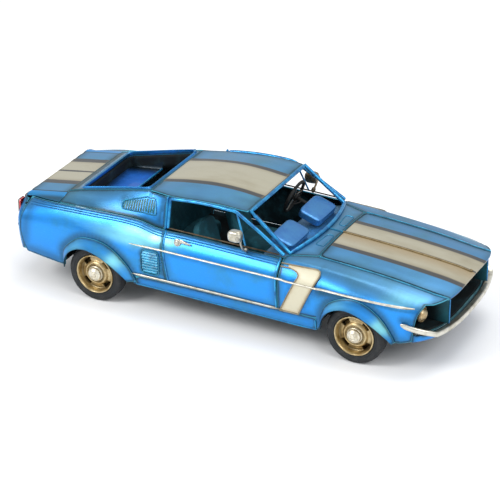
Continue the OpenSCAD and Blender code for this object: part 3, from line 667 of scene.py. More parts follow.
def striped_blue(name, middle=None, flank=None, border=3.1):
    """Blue with the cream stripes painted over it.

    middle says what is painted between the two halves, and flank how far out a side wall begins.
    """
    p = Paint(name)
    color, dark, streak, fleck = blue_coat(p)
    off = p.math("ABSOLUTE", p.y)
    if flank:
        color = p.mix(p.ramp(off, flank, flank + 0.7), color, FLANK_BLUE)
        # Painted shade: a dark line in the crease where the side wall begins, and a softer shade at its
        # foot.
        crease = p.times(p.ramp(off, flank - 1.1, flank - 0.3), p.ramp(off, flank + 0.9, flank + 0.2))
        color = p.mix(p.times(crease, 0.8), color, CREVICE_SHADE)
        foot = p.times(p.ramp(off, flank + 3.5, flank + 8.5), 0.8)
        color = p.mix(foot, color, SHADE)
    wander = p.swing(p.noise(9, 3, 0.5, (3, 1, 1)), 0.9)
    off = p.plus(off, wander)
    outside = p.ramp(off, STRIPE_Y + border - 0.5, STRIPE_Y + border + 0.5)
    cream = p.ramp(off, STRIPE_Y - 2.0, STRIPE_Y - 0.6)
    coat = p.mix(p.times(p.ramp(off, STRIPE_Y - 6, STRIPE_Y - 1), 0.4), cream_coat(p), CREAM_WORN_AND_SHADE)
    painted = p.mix(cream, coat, BORDER)
    if middle == "line":
        painted = p.mix(p.ramp(off, 0.8, 1.7), BORDER, painted)
    if middle == "bead":
        spread = p.plus(off, p.times(p.noise(6, 4, 0.6), 2))
        gold = p.times(p.rest(p.ramp(spread, 1.0, 4.6)), 0.85)
        warm = p.times(p.times(p.rest(p.ramp(spread, 2.0, 15.0)),
                                         p.ramp(p.y, 1.0, -1.0)), 0.6)
        painted = p.mix(p.math("MAXIMUM", gold, warm), painted, GOLD_WASH)
        far_line = p.times(p.ramp(p.y, 0.5, 0.8), p.ramp(p.y, 2.6, 2.0))
        painted = p.mix(far_line, painted, BORDER)
    # Painted shade on the cream near the sheet's edges.
    painted = p.mix(p.times(dark, 0.35), painted, CREAM_WORN_AND_SHADE)
    mixed = p.mix(outside, painted, color)
    finish_blue(p, mixed, dark, streak, fleck)
    p.set(Metallic=p.times(outside, 0.78))
    return p.material


def cream_paint(name, light):
    """Cream of the loose plates and beads; light scales how pale it is. The side plates use a paler copy of
    the cream on the tops: painted light.
    """
    p = Paint(name)
    edge = p.attribute("edge")
    brown = p.rest(p.ramp(p.plus(edge, p.times(p.noise(4, 4, 0.6), 3.0)),
                                           1.2, 4.5))
    color = p.mix(p.times(brown, 0.6), cream_coat(p, light), (0.42, 0.30, 0.14))
    p.set(Base_Color=color, Roughness=p.ramp(p.noise(6), 0.3, 0.7, 0.4, 0.55), Metallic=0.1,
          Coat_Weight=0.2, Coat_Roughness=0.3)
    p.bump(p.noise(2.2, 4, 0.6), 0.12, 0.4)
    return p.material


def aged_metal(name, bright, dull, roughness, reach=8, metallic=0.95):
    """Metal that is bright where it is rubbed and dull in its hollows."""
    p = Paint(name)
    spread = p.noise(reach, 5, 0.62)
    fine = p.noise(0.9, 3, 0.6)
    color = p.mix(p.ramp(spread, 0.38, 0.72), bright, dull)
    geometry = p.node("ShaderNodeNewGeometry")
    hollow = p.rest(p.ramp(geometry.outputs["Pointiness"], 0.42, 0.5))
    color = p.mix(p.times(hollow, 0.75), color, tuple(c * 0.18 for c in dull))
    # Painted shade where a piece's shade attribute asks for it: rim dishes and slots, the back of the lamp
    # bays.
    color = p.mix(p.attribute("shade"), color, tuple(c * 0.12 for c in dull))
    p.set(Base_Color=color, Metallic=metallic,
          Roughness=p.plus(roughness, p.times(fine, 0.18)))
    p.bump(p.plus(p.times(spread, 0.7), p.times(fine, 0.12)), 0.25, 0.4)
    return p.material


def rubber():
    p = Paint("tyre_rubber")
    dust = p.noise(5, 5, 0.65)
    color = p.mix(p.ramp(dust, 0.45, 0.8), (0.018, 0.020, 0.022), (0.050, 0.049, 0.047))
    p.set(Base_Color=color, Roughness=p.ramp(dust, 0.3, 0.8, 0.55, 0.75), Specular_IOR_Level=0.3)
    p.bump(p.noise(0.6, 3, 0.6), 0.06, 0.5)
    return p.material


def dark_paint(name="dark_inside", color=(0.006, 0.009, 0.010), sheen=(0.012, 0.030, 0.036)):
    p = Paint(name)
    patch = p.noise(9, 5, 0.6)
    p.set(Base_Color=p.mix(p.ramp(patch, 0.45, 0.75), color, sheen), Specular_IOR_Level=0.25,
          Roughness=p.ramp(patch, 0.3, 0.7, 0.6, 0.8))
    p.bump(p.noise(1.6, 4, 0.6), 0.15, 0.4)
    return p.material


def lamp_red():
    p = Paint("lamp_red")
    rows = p.noise(1.4, 2, 0.5, (1, 1, 3))
    p.set(Base_Color=p.mix(rows, (0.42, 0.012, 0.014), (0.75, 0.07, 0.06)), Roughness=0.22, Coat_Weight=0.8)
    p.bump(rows, 0.3, 0.4)
    return p.material


def floor_paint():
    p = Paint("studio_floor")
    p.set(Base_Color=p.mix(p.noise(240, 2, 0.4), (0.90, 0.90, 0.90), (0.93, 0.93, 0.93)), Roughness=0.85,
          Specular_IOR_Level=0.1)
    return p.material


# ---- body panels, drawn for the right side ----
SIDES = (("right", False), ("left", True))
DOOR_REAR_TOP_X, DOOR_REAR_LOW_X, DOOR_FRONT_X = -44.7, -39.7, 40.0
ROCKER_REAR_X, ROCKER_FRONT_X = -63.5, 68.5
FOOT_GAP = 0.2
SIDE_ROWS = 26
OUT = Vector((0, -1, 0))


def column(top_x, low_x, top, low):
    return [side_pt(lerp(top_x, low_x, t), lerp(top, low, t)) for t in steps(0, 1, SIDE_ROWS)]


def plain_column(x, low):
    return column(x, x, belt_z(x), low)


def quarter_shape():
    rows = []
    for t in steps(0, 1, 14):
        x = lerp(-149.8, -118.6, t)
        rows.append([side_pt(x + (1 - t) ** 2 * (curve(TAIL_BULGE, z) + 149.8), z)
                     for z in (lerp(belt_z(x), bottom_z(x), s) for s in steps(0, 1, SIDE_ROWS))])
    for angle in steps(176, 4, 56):
        rows.append(plain_column(*arch_point(AXLE_X["rear"], ARCH_IN, angle, 0.8)))
    foot = ROCKER_REAR_X - FOOT_GAP
    rows.append(plain_column(foot - 1, bottom_z(foot)))
    rows.append(plain_column(foot, bottom_z(foot)))
    low = ROCKER_TOP_Z + SEAM
    rows.append(plain_column(foot + 0.1, low))
    for t in steps(0.12, 1, 10):
        top = lerp(foot, DOOR_REAR_TOP_X - SEAM, t)
        rows.append(column(top, lerp(foot, DOOR_REAR_LOW_X - SEAM, t), belt_z(top), low))
    return sheet(rows, OUT)


def door_shape():
    rows = []
    for t in steps(0, 1, 30):
        top = lerp(DOOR_REAR_TOP_X, DOOR_FRONT_X, t)
        low = lerp(DOOR_REAR_LOW_X, DOOR_FRONT_X + 1, t)
        rows.append(column(top, low, belt_z(top), ROCKER_TOP_Z + SEAM))
    return sheet(rows, OUT)


def strip_y(x):
    """Inner edge of the fender's top, beside the cowl and then the hood."""
    return lerp(43.6, HOOD_Y + SEAM, max(x - 41, 0) / 20) if x < 61 else HOOD_Y + SEAM


def stretched(x, end):
    return lerp(124, end, (x - 124) / 16) if x > 124 else x


def fender_shape():
    rows = []
    low = ROCKER_TOP_Z + SEAM
    places = [(x, low) for x in steps(DOOR_FRONT_X + SEAM + 1, ROCKER_FRONT_X, 10)]
    places += [(ROCKER_FRONT_X + 0.1, bottom_z(66))]
    places += [arch_point(AXLE_X["front"], ARCH_IN, a, 0.8) for a in steps(176, 3, 52)]
    places += [(x, bottom_z(x)) for x in steps(124, 140, 12)]
    for x, z_low in places:
        row = []
        for t in steps(0, 5 / 6, 5):
            y = lerp(strip_y(x), belt_y(x), t)
            xs = stretched(x, lip_x(y))
            row.append(Vector((xs, -y, top_z(xs, y))))
        for t in steps(0, 1, SIDE_ROWS):
            z = lerp(belt_z(x), z_low, t)
            row.append(side_pt(stretched(x, curve(FENDER_FRONT, z)), z))
        rows.append(row)
    return sheet(rows, OUT + Vector((0, 0, 1)))


def rocker_roll():
    """Rolled wire along the rocker's foot and up its front end."""
    foot = [side_pt(x, bottom_z(x) + 0.5, 0.1) for x in steps(ROCKER_REAR_X + 0.5, ROCKER_FRONT_X - 1, 50)]
    front = [side_pt(ROCKER_FRONT_X - 0.8, z, 0.15) for z in steps(bottom_z(68) + 1, 24, 4)]
    return Shape().tube(foot + front, 0.55, sides=10).both()


def rocker_shape():
    rows = []
    for x in steps(ROCKER_REAR_X, ROCKER_FRONT_X - SEAM, 40):
        top, low = ROCKER_TOP_Z, bottom_z(x)
        profile = [(0, 0), (0.25, 0), (0.5, 0), (0.72, 0), (0.78, 0.25), (0.86, 0.4), (0.94, 0.25),
                   (1, -0.1)]
        rows.append([side_pt(x, lerp(top, low, t), off) for t, off in profile])
    return sheet(rows, OUT)


FLARE_RISE = 2.8
TRIM_GAP = 0.1


def flare_shape(axle_x, knots):
    rows = []
    for angle in steps(177, 4, 60):
        inner, outer = arch_point(axle_x, ARCH_IN, angle), arch_point(axle_x, knots, angle)
        row = []
        for t in (0, 0.05, 0.15, 0.3, 0.45, 0.6, 0.75, 0.88, 0.96, 1):
            x, z = lerp(outer[0], inner[0], t), lerp(outer[1], inner[1], t)
            row.append(side_pt(x, z, TRIM_GAP + SHEET - 0.13 + FLARE_RISE * t ** 0.85))
        x, z = inner
        row.append(side_pt(x, z, TRIM_GAP + SHEET - 0.13 + FLARE_RISE - 1.2))
        rows.append(row)
    return sheet(rows, OUT)


def flare_spray_and_highlight(p):
    """The flares are sprayed a little lighter all round and carry a painted highlight, most of all on the
    part that looks forward and up.
    """
    axle = AXLE_X["front"] if p.x > 0 else AXLE_X["rear"]
    angle = math.degrees(math.atan2(p.z - AXLE_Z, p.x - axle))
    bright, at = (0.85, 32) if p.x > 0 else (0.55, 42)
    return 0.22 + bright * math.exp(-((angle - at) / 14) ** 2) + 0.2 * math.exp(-((angle - 120) / 20) ** 2)


def sail_shade(p):
    """Greenish painted shade low on the sail, behind the pillar and round the vents."""
    low = math.exp(-(max(0.0, p.z - belt_z(p.x)) / 3.4) ** 2)
    pillar = 0.75 * math.exp(-max(0.0, -50.5 - p.x) / 3.5) * (1 if p.x < -48.5 else 0.4)
    low *= min(1.0, max(0.3, (p.x + 122) / 22))
    vents = 0.0
    if -84 < p.x < -50:
        mid = 0.5 * (sail_pt(0.6, 0.55, 0).z + sail_pt(0.9, 0.4, 0).z)
        vents = 0.7 * math.exp(-((p.z - mid) / 5.5) ** 2) * min(1.0, (p.x + 84) / 4, (-50 - p.x) / 3)
    return min(1.0, max(low, pillar, vents))


def side_pieces():
    both = [("quarter_panel", quarter_shape(), side_shade, airbrush_and_painted_light_at),
            ("door", door_shape(), side_shade, airbrush_and_painted_light_at), ("fender", fender_shape(), side_shade, airbrush_and_painted_light_at),
            ("rocker", rocker_shape(), side_shade, airbrush_and_painted_light_at),
            ("sail_panel", sail_shape(), sail_shade, airbrush_and_painted_light_at),
            ("flare_front", flare_shape(AXLE_X["front"], ARCH_OUT_FRONT), None, flare_spray_and_highlight),
            ("flare_rear", flare_shape(AXLE_X["rear"], ARCH_OUT_REAR), None, flare_spray_and_highlight)]
    for name, shape, shade, airbrush_and_painted_light in both:
        for side, mirror in SIDES:
            piece(f"{name}_{side}_skin", shape.mirrored() if mirror else shape, "blue",
                  nodes=[f"{name}_{side}"], thick=SHEET, bevel=0.25, lined=True, shade=shade, airbrush_and_painted_light=airbrush_and_painted_light)


# ---- roof, sails and rear window ----
ROOF_REAR_X, ROOF_FRONT_X = -61.5, 12.5
SAIL_REAR_X, B_PILLAR_X = -125.6, -45.6
UP = Vector((0, 0, 1))


def roof_shape():
    rows = []
    for x in steps(ROOF_REAR_X, ROOF_FRONT_X, 36):
        rows.append([Vector((x, v * roof_y(x), roof_z(x, v * roof_y(x)))) for v in steps(-1, 1, 36)])
    return sheet(rows, UP)


def sail_top(x):
    z = curve(SAIL_Z, x) if x < ROOF_REAR_X else roof_z(x, roof_y(x)) - SHEET - 0.4
    return Vector((x, -roof_y(x), z))


def sail_low(x):
    return Vector((x, -(belt_y(x) - 1.1), belt_z(x) - 0.2))


def sail_pt(t, v, off):
    """Point on the sail panel: t runs forward, v runs down."""
    a = sail_top(lerp(SAIL_REAR_X, B_PILLAR_X - 2, t))
    b = sail_low(lerp(SAIL_REAR_X, B_PILLAR_X, t))
    return a.lerp(b, v) + OUT * (1.1 * math.sin(math.pi * v) + off)


def sail_shape():
    rows = [[sail_pt(t, v, 0) for v in steps(0, 1, 14)] for t in steps(0, 1, 44)]
    return sheet(rows, OUT)


WINDOW_FRONT_X, WINDOW_REAR_X, BAND_REAR_X = -64.5, -116.0, -125.6


def slope_z(x):
    return curve(SAIL_Z, x) - 0.1


def window_loop(front_x, front_y, rear_x, rear_y, radius):
    """A rounded four-sided line round the rear window, lying in its slope."""
    corners = [(front_x, -front_y, 0), (front_x, front_y, 0), (rear_x, rear_y, 0), (rear_x, -rear_y, 0)]
    line = []
    sides = round_corners(corners, radius, 6)
    for i, p in enumerate(sides):
        q = sides[(i + 1) % len(sides)]
        parts = max(1, int((q - p).length / 4))
        line += [p.lerp(q, k / parts) for k in range(parts)]
    return [Vector((p.x, p.y, slope_z(p.x))) for p in line]


def resampled(line, n):
    """n points evenly spaced along a closed line."""
    ring = line + [line[0]]
    run = [w[0] for w in walk(ring)]
    out, i = [], 0
    for k in range(n):
        goal = run[-1] * k / n
        while run[i + 1] < goal:
            i += 1
        out.append(ring[i].lerp(ring[i + 1], (goal - run[i]) / (run[i + 1] - run[i])))
    return out


LOOP_POINTS = 160


def rear_window_shape():
    outer = resampled(window_loop(ROOF_REAR_X - SEAM, 35.2, BAND_REAR_X, 34.3, 1.5), LOOP_POINTS)
    inner = resampled(window_loop(WINDOW_FRONT_X, 34, WINDOW_REAR_X, 31.5, 3), LOOP_POINTS)
    rows = []
    rim = UP * 1.25
    for a, b in zip(outer, inner):
        rows.append([a, a.lerp(b, 0.45), a.lerp(b, 0.62) + UP * 0.1, a.lerp(b, 0.74) + rim * 0.75,
                     a.lerp(b, 0.84) + rim, a.lerp(b, 0.94) + rim * 0.9, b + rim * 0.45, b - UP * 0.4,
                     b - UP * 2.2])
    return sheet(rows, UP, along=True)


def window_well_shape():
    """Dark walls under the rear window's frame, down to the tray: painted shade inside the car."""
    inner = resampled(window_loop(WINDOW_FRONT_X, 34.3, WINDOW_REAR_X, 31.8, 3), LOOP_POINTS)
    rows = [[p - UP * drop for drop in (1.6, 5, 9, 13)] for p in inner]
    return Shape().grid(rows, along=True, worn=False)


TRAY_REAR_X, TRAY_FRONT_X = -117.0, -91.0


def tray_z(x):
    return lerp(58.5, 61.5, (x - TRAY_REAR_X) / (TRAY_FRONT_X - TRAY_REAR_X))


def tray_shape():
    profile = [(-33.5, 8), (-33.1, 6), (-32.6, 2), (-31.6, 0.4), (-30, 0), (-15, 0), (0, 0), (15, 0),
               (30, 0), (31.6, 0.4), (32.6, 2), (33.1, 6), (33.5, 8)]
    rows = [[Vector((x, y, tray_z(x) + up)) for y, up in profile]
            for x in steps(TRAY_REAR_X, TRAY_FRONT_X, 16)]
    return sheet(rows, UP, worn=False)


LID_FRONT_X, LID_REAR_X, LID_Y = -126.0, -155.2, 36.0


def lid_shape():
    rows = []
    for x in steps(LID_FRONT_X, LID_REAR_X, 20):
        t = (x - LID_FRONT_X) / (LID_REAR_X - LID_FRONT_X)
        y, z = lerp(34.4, LID_Y, t), lerp(65.4, 60.9, t)
        s = side_pt(max(x, -149), belt_z(x))
        low = Vector((x, s.y + 1.1, min(s.z + 0.4, z - 0.8)))
        side = [low, low.lerp(Vector((x, -y, z)), 0.25) + UP * 0.12, low.lerp(Vector((x, -y, z)), 0.5) + UP
                * 0.16, low.lerp(Vector((x, -y, z)), 0.75) + UP * 0.1, Vector((x, -y, z - 0.2))]
        top = [Vector((x, -y * v, z - 0.2 * v ** 8)) for v in steps(0.96, -0.96, 24)]
        rows.append(side + top + [Vector((p.x, -p.y, p.z)) for p in side[::-1]])
    return sheet(rows, UP)


def upper_pieces():
    panel("roof_skin", roof_shape(), "roof", "roof_panel")
    # The surround's rear flange is painted dark: painted shade below the deck's front edge.
    piece("rear_window_surround", rear_window_shape(), "blue", nodes=["rear_window_frame"], thick=0.6,
          bevel=0.15, shade=lambda p: unit((-119.9 - p.x) / 0.8))
    piece("rear_window_well", window_well_shape(), "dark", thick=0.3)
    lip = Shape().tube([Vector((TRAY_FRONT_X + 0.2, y, tray_z(TRAY_FRONT_X) + 0.6))
                        for y in steps(-31.5, 31.5, 12)], 0.75, sides=12)
    piece("parcel_tray_lip", lip, "blue_wire")
    piece("parcel_tray_skin", tray_shape(), "tray", nodes=["parcel_tray"], thick=SHEET, bevel=0.2)
    panel("trunk_lid_skin", lid_shape(), "deck", "trunk_lid")


# ---- tail ----
TAIL_X, TAIL_LOW_Z, TAIL_TOP_Z, TAIL_CORNER = -156.6, 24.0, 58.6, 0.84
LAMP_Z = 52.6
LAMP_FIRST_Y, LAMP_PITCH, LAMP_HALF_Y, LAMP_HALF_Z, LAMP_RING = -43, 8.8, 3.3, 4.6, 40


def tail_pt(u, z):
    a = abs(u)
    c = max((a - TAIL_CORNER) / (1 - TAIL_CORNER), 0)
    w = side_y(-151, z) - SHEET - 0.15
    y = a / TAIL_CORNER * (w - 4.6) if a < TAIL_CORNER else w - 4.6 + 4.2 * math.sin(math.pi / 2 * c)
    bow = -1.2 * (1 - ((z - 43) / 17) ** 2)
    return Vector((TAIL_X + bow + 4.4 * c * c, math.copysign(y, u), z))


def tail_shape():
    rows = []
    for u in steps(-1, 1, 56):
        rows.append([tail_pt(u, z) for z in steps(TAIL_TOP_Z, TAIL_LOW_Z, 22)])
    return sheet(rows, -Vector((1, 0, 0)))


def lamp_shapes():
    """Three upright lenses a side, each in a thin bright frame."""
    lens, bezel = Shape(), Shape()
    for i in range(3):
        y = LAMP_FIRST_Y + i * LAMP_PITCH
        outline = [(y + a * LAMP_HALF_Y, LAMP_Z + b * LAMP_HALF_Z)
                   for a, b in ((-1, -1), (1, -1), (1, 1), (-1, 1))]
        x = TAIL_X - 2.2
        ring = resampled(round_corners([Vector((x, a, b)) for a, b in outline], 1.2, 4), LAMP_RING)
        centre = Vector((x, y, LAMP_Z))
        rows = [[p + (centre - p) * inset - Vector((1, 0, 0)) * out for p in ring]
                for inset, out in ((0, -1.2), (0, 0.4), (0.1, 0.9), (0.35, 1.3), (0.7, 1.45), (0.97, 1.5))]
        first = len(lens.points)
        lens.grid(rows, around=True, worn=False).lid(first + 5 * LAMP_RING, LAMP_RING)
        bezel.tube([p - Vector((0.15, 0, 0)) for p in ring], 0.42, closed=True, sides=8)
    return face_out(lens, -Vector((1, 0, 0))).both(), bezel.both()


BUMPER_REAR_X = TAIL_X - 2.75


def rear_bumper_shape():
    path = [(BUMPER_REAR_X + 0.2 * u * u, 46 * u, 39) for u in steps(-1, 1, 40)]
    shape = Shape().tube(path, 1.4, sides=16, up=(0, 0, 1))
    stay = Shape().tube([(TAIL_X - 1.3, -26, 39), (BUMPER_REAR_X + 1, -26, 39)], 1.0, sides=14)
    stay.both()
    return shape.join(stay)


def gutter_shape():
    """Dark gutter below the lid's rear edge, which closes the trunk at the tail panel; its dark paint is
    painted shade in the seam.
    """
    profile = [(-139, 57.6), (-146, 57.2), (-151.5, 56.8), (-153.6, 56.3), (-154.3, 54.5), (-154.4, 51)]
    rows = [[Vector((x, y, z)) for x, z in profile] for y in steps(-46.5, 46.5, 24)]
    return sheet(rows, UP, worn=False)


def tail_pieces():
    piece("lid_gutter", gutter_shape(), "dark", thick=0.6, bevel=0.15)
    panel("tail_panel_skin", tail_shape(), "blue", "tail_panel", 0.25)
    lens, bezel = lamp_shapes()
    piece("tail_lamp_lenses", lens, "red", nodes=["tail_lights"])
    piece("tail_lamp_frames", bezel, "silver")
    piece("rear_bumper_bar", rear_bumper_shape(), "silver", nodes=["rear_bumper"])


# ---- hood, cowl and nose ----
HOOD_REAR_X = 60.9


def cowl_rear_x(y):
    return 49.5 - 7.8 * (abs(y) / 43.2) ** 2


def hood_shape():
    rows = []
    for v in steps(-1, 1, 44):
        y = v * HOOD_Y
        end = lip_x(y)
        row = [Vector((x, y, top_z(x, y))) for x in (lerp(HOOD_REAR_X, end, t) for t in steps(0, 1, 50))]
        row.append(Vector((end - 0.1, y, row[-1].z - 1.1)))
        row.append(Vector((end - 0.6, y, row[-1].z - 0.9)))
        rows.append(row)
    return sheet(rows, UP)


def cowl_shape():
    rows = []
    for v in steps(-1, 1, 40):
        rear_y, front_y = v * 42.7, v * (HOOD_Y - 0.2)
        row = []
        for t in steps(0, 1, 12):
            y = lerp(rear_y, front_y, t)
            x = lerp(cowl_rear_x(rear_y), HOOD_REAR_X - SEAM, t)
            row.append(Vector((x, y, top_z(x, y))))
        rows.append(row)
    return sheet(rows, UP)


def on_top(x, y, off=0.0):
    return Vector((x, y, top_z(x, y) + off))


RIB_R = 0.7
RIB_START_X, RIB_END_X = 51.4, 150.5


def rib_shape():
    """Bead down the middle of the hood, with a small hook at its front end."""
    line = [on_top(x, 0, RIB_R * 0.55) for x in steps(HOOD_REAR_X + 0.5, RIB_END_X, 60)]
    line += [on_top(RIB_END_X + 0.8, 0.5, RIB_R * 0.5), on_top(RIB_END_X + 0.7, 1.5, RIB_R * 0.4),
             on_top(RIB_END_X - 0.4, 1.9, RIB_R * 0.4)]
    return Shape().tube(line, RIB_R * 0.8, sides=12)


def hood_side_beads():
    """Folded edge of the fender beside the hood, and the hood's own rolled edge with round rear corners."""
    fold = [on_top(x, -(HOOD_Y + 1.0), 0.12) for x in steps(HOOD_REAR_X + 1, lip_x(HOOD_Y) - 1, 50)]
    edge = round_corners([on_top(HOOD_REAR_X + 0.5, 0, 0.1),
                          on_top(HOOD_REAR_X + 0.5, -(HOOD_Y - 0.6), 0.1),
                          on_top(lip_x(HOOD_Y) - 1, -(HOOD_Y - 0.6), 0.1)], 5, 8, closed=False)
    line = []
    for a, b in zip(edge, edge[1:]):
        parts = max(1, int((b - a).length / 3))
        line += [on_top(lerp(a.x, b.x, k / parts), lerp(a.y, b.y, k / parts), 0.05) for k in range(parts)]
    folds = Shape().tube(fold, 0.5, sides=8).both()
    edges = Shape().tube(line, 0.42, sides=8).both()
    return folds, edges


def cowl_beads():
    """Raised lines pressed into the cowl: the middle bead and a rounded outline on each side."""
    beads = Shape().tube([on_top(x, 0, 0.2) for x in steps(RIB_START_X, HOOD_REAR_X, 8)], 0.55, sides=10)
    corners = [(54.3, 8), (58.6, 8), (58.2, 24), (52.4, 24), (52.9, 17)]
    for s in (-1, 1):
        outline = round_corners([Vector((x, s * y, 0)) for x, y in corners], 1.8, 5)
        beads.tube([on_top(p.x, p.y, 0.1) for p in outline], 0.32, sides=8, closed=True)
    return beads


MOUTH_LOW_Z = 30.0
CHEEK_Y = 32.6


def mouth_back(v):
    return 131 - 4 * v * v


def grille_shape():
    """Dark liner behind the mouth, open to the front."""
    rows = []
    for v in steps(-1, 1, 48):
        y = 46 * v
        back, front = mouth_back(v), lip_x(y) - 2.5
        top = top_z(front - 2, y) - SHEET - 0.9
        middle = lerp(MOUTH_LOW_Z, top, 0.5)
        rows.append([Vector(p)
                     for p in ((front - 1, y, top), (lerp(back, front, 0.5), y, top), (back + 3.2, y, top),
                               (back + 1.9, y, top - 0.6), (back + 1.1, y, top - 1.8),
                               (back + 0.8, y, middle), (back + 1.1, y, MOUTH_LOW_Z + 2.4),
                               (back + 2.2, y, MOUTH_LOW_Z + 1),
                               (lerp(back, front, 0.5), y, MOUTH_LOW_Z + 0.6),
                               (front - 4, y, MOUTH_LOW_Z + 0.3),
                               (valance_x(y) - 1.9, y, MOUTH_LOW_Z - 0.9))])
    return sheet(rows, Vector((1, 0, 0)))


def cheek_shape():
    """Upright plates between the mouth and the lamp bays."""
    front = lip_x(CHEEK_Y) - 2
    top = top_z(front, CHEEK_Y) - 2.2
    rows = [[Vector((lerp(133, front, t), -CHEEK_Y, lerp(MOUTH_LOW_Z + 1, top, s)))
             for s in steps(0, 1, 10)] for t in steps(0, 1, 10)]
    return sheet(rows, OUT)


HEADLIGHT = Vector((134.5, -44.0, 40.0))


def facing(place, axis):
    """Matrix that sends Z to an axis and the origin to a place."""
    return Matrix.Translation(place) @ Vector(axis).to_track_quat("Z", "Y").to_matrix().to_4x4()


def headlight_shape():
    lamp = [(0.01, 4.8), (1.2, 4.7), (2.3, 4.35), (3.2, 3.7), (3.9, 2.9), (4.15, 2.3), (4.4, 2.15),
            (4.75, 2.5), (5.1, 2.45), (5.3, 2.1), (5.3, 0.9), (4.9, 0.2), (3, 0.05)]
    return Shape().lathe(lamp, facing(HEADLIGHT, (1, 0, 0)), 64).both()


BUMPER_MID_X, BUMPER_BOW, BUMPER_TURN_X, BUMPER_END_X = 152.6, 4.5, 148.1, 127.0
BUMPER_TURN_Y, BUMPER_TURN = 47, 0.62


def valance_x(y):
    return 149.5 - 13.5 * (abs(y) / 53) ** 4


def bumper_shelf_shape():
    """Dark shelf that joins the valance's upper edge to the bumper; its dark paint is painted shade in the
    gap.
    """
    rows = []
    for v in steps(-1, 1, 80):
        y, a = 52.5 * v, abs(52.5 * v)
        if a < BUMPER_TURN_Y:
            t = a / BUMPER_TURN_Y
            outer = Vector((BUMPER_MID_X - BUMPER_BOW * t ** 3 - 1.2, y, 27.4 + 2.6 * t * t))
        else:
            t = math.asin((a - BUMPER_TURN_Y) / 10.2) * 2 / math.pi
            outer = Vector((lerp(BUMPER_TURN_X, BUMPER_END_X, t ** 1.25) - 1.2, y, 30 + 6.6 * t))
        inner = Vector((valance_x(y) - 1.5, y, 28.4))
        rows.append([inner, inner.lerp(outer, 0.35) - UP * 0.3, inner.lerp(outer, 0.7) - UP * 0.2, outer])
    return sheet(rows, UP, worn=False)


def valance_shape():
    rows = []
    for v in steps(-1.045, 1.045, 68):
        y = 53 * v
        x = valance_x(y)
        y = max(-53.3, min(53.3, y))
        line = smooth_path([(x - 1, y * 0.995, MOUTH_LOW_Z - 1), (x - 0.2, y, 28.2), (x, y, 27),
                            (x - 1, y * 0.99, 23.5), (x - 6, y * 0.95, 22)], 4)
        rows.append(line)
    return sheet(rows, Vector((1, 0, 0)))



def bumper_pt(u):
    a = abs(u)
    s = math.copysign(1, u)
    if a < BUMPER_TURN:
        t = a / BUMPER_TURN
        return Vector((BUMPER_MID_X - BUMPER_BOW * t ** 3, s * t * BUMPER_TURN_Y, 27.2 + 2.6 * t * t))
    t = (a - BUMPER_TURN) / 0.38
    return Vector((lerp(BUMPER_TURN_X, BUMPER_END_X, t ** 1.25), s
                   * lerp(BUMPER_TURN_Y, 57.2, math.sin(math.pi / 2 * t)), 29.8 + 6.6 * t))


def front_bumper_shape():
    """Blade with a rounded face, a ridge along its middle and rounded ends."""
    rows = []
    line = [bumper_pt(u) for u in steps(-1, 1, 120)]
    for i, p in enumerate(line):
        along = (line[min(i + 1, 120)] - line[max(i - 1, 0)]).normalized()
        out = along.cross(UP).normalized()
        end = min(i, 120 - i)
        size = 1.0 if end > 3 else (0.35, 0.72, 0.9, 0.97)[end]
        inward = 1.6 + 1.9 * min(1, end / 40)
        section = [(0.35, -1.7), (0.75, -1.35), (0.95, -0.7), (1.02, 0), (0.95, 0.7), (0.75, 1.35),
                   (0.35, 1.75), (-0.3, 1.85), (-inward, 1.3), (-inward, 0.7), (-0.5, 0.4), (-0.3, -1.6)]
        rows.append([p + out * a * 0.85 * size + UP * b * size for a, b in section])
    shape = Shape().grid(rows, around=True, worn=False)
    shape.lid(0, 12).lid(120 * 12, 12, flip=True)
    return shape


def nose_pieces():
    panel("hood_skin", hood_shape(), "hood", "hood")
    panel("cowl_skin", cowl_shape(), "blue", "cowl_panel")
    piece("hood_bead", rib_shape(), "rib_gold", nodes=["hood_rib"])
    piece("cowl_beads", cowl_beads(), "dull_wire")
    folds, edges = hood_side_beads()
    piece("hood_side_folds", folds, "dull_wire")
    piece("hood_edge_rolls", edges, "seam")
    piece("mouth_liner", grille_shape(), "dark", nodes=["grille_shell"], thick=0.6, bevel=0.15)
    # The cheeks are painted dark towards the back of the lamp bays: painted shade.
    piece("mouth_cheeks", cheek_shape().both(), "bay", thick=0.7, bevel=0.2,
          shade=lambda p: 1.0 - unit((p.x - 139.5) / 8))
    edge_x = lip_x(CHEEK_Y) - 1.8
    edges = Shape().tube([(edge_x, -CHEEK_Y, z)
                          for z in steps(MOUTH_LOW_Z + 1.5, top_z(edge_x, CHEEK_Y) - 2.5, 8)], 0.5, sides=8)
    piece("mouth_cheek_edges", edges.both(), "ridge")
    piece("bumper_shelf", bumper_shelf_shape(), "dark", thick=0.6, bevel=0.15)
    lip = [Vector((valance_x(50 * v) - 1.4, 50 * v, MOUTH_LOW_Z - 0.5)) for v in steps(-1, 1, 60)]
    piece("mouth_lip", Shape().tube(lip, 0.4, sides=8), "lip")
    piece("headlight_lamps", headlight_shape(), "lamp", nodes=["headlights"])
    # The top of the valance under the bumper is painted dark: painted shade.
    piece("front_valance_skin", valance_shape(), "blue", nodes=["front_valance"], thick=SHEET, bevel=0.2,
          lined=True, shade=lambda p: unit((p.z - 25.6) / 1.6) * (1.0 if abs(p.y) < 50 else 0.5))
    piece("front_bumper_blade", front_bumper_shape(), "silver", nodes=["front_bumper"])


# ---- trim on the sides ----
def side_line(xs, z_of, off):
    return [side_pt(x, z_of(x), off) for x in xs]


def belt_ridges():
    shape = Shape()
    for drop in (0.9, 2.1, 3.3):
        shape.tube(side_line(steps(-148.5, DOOR_FRONT_X - 0.5, 90), lambda x: belt_z(x) - drop, 0.12), 0.42,
                   sides=8)
    return shape.both()


PLATE_OFF = 0.8


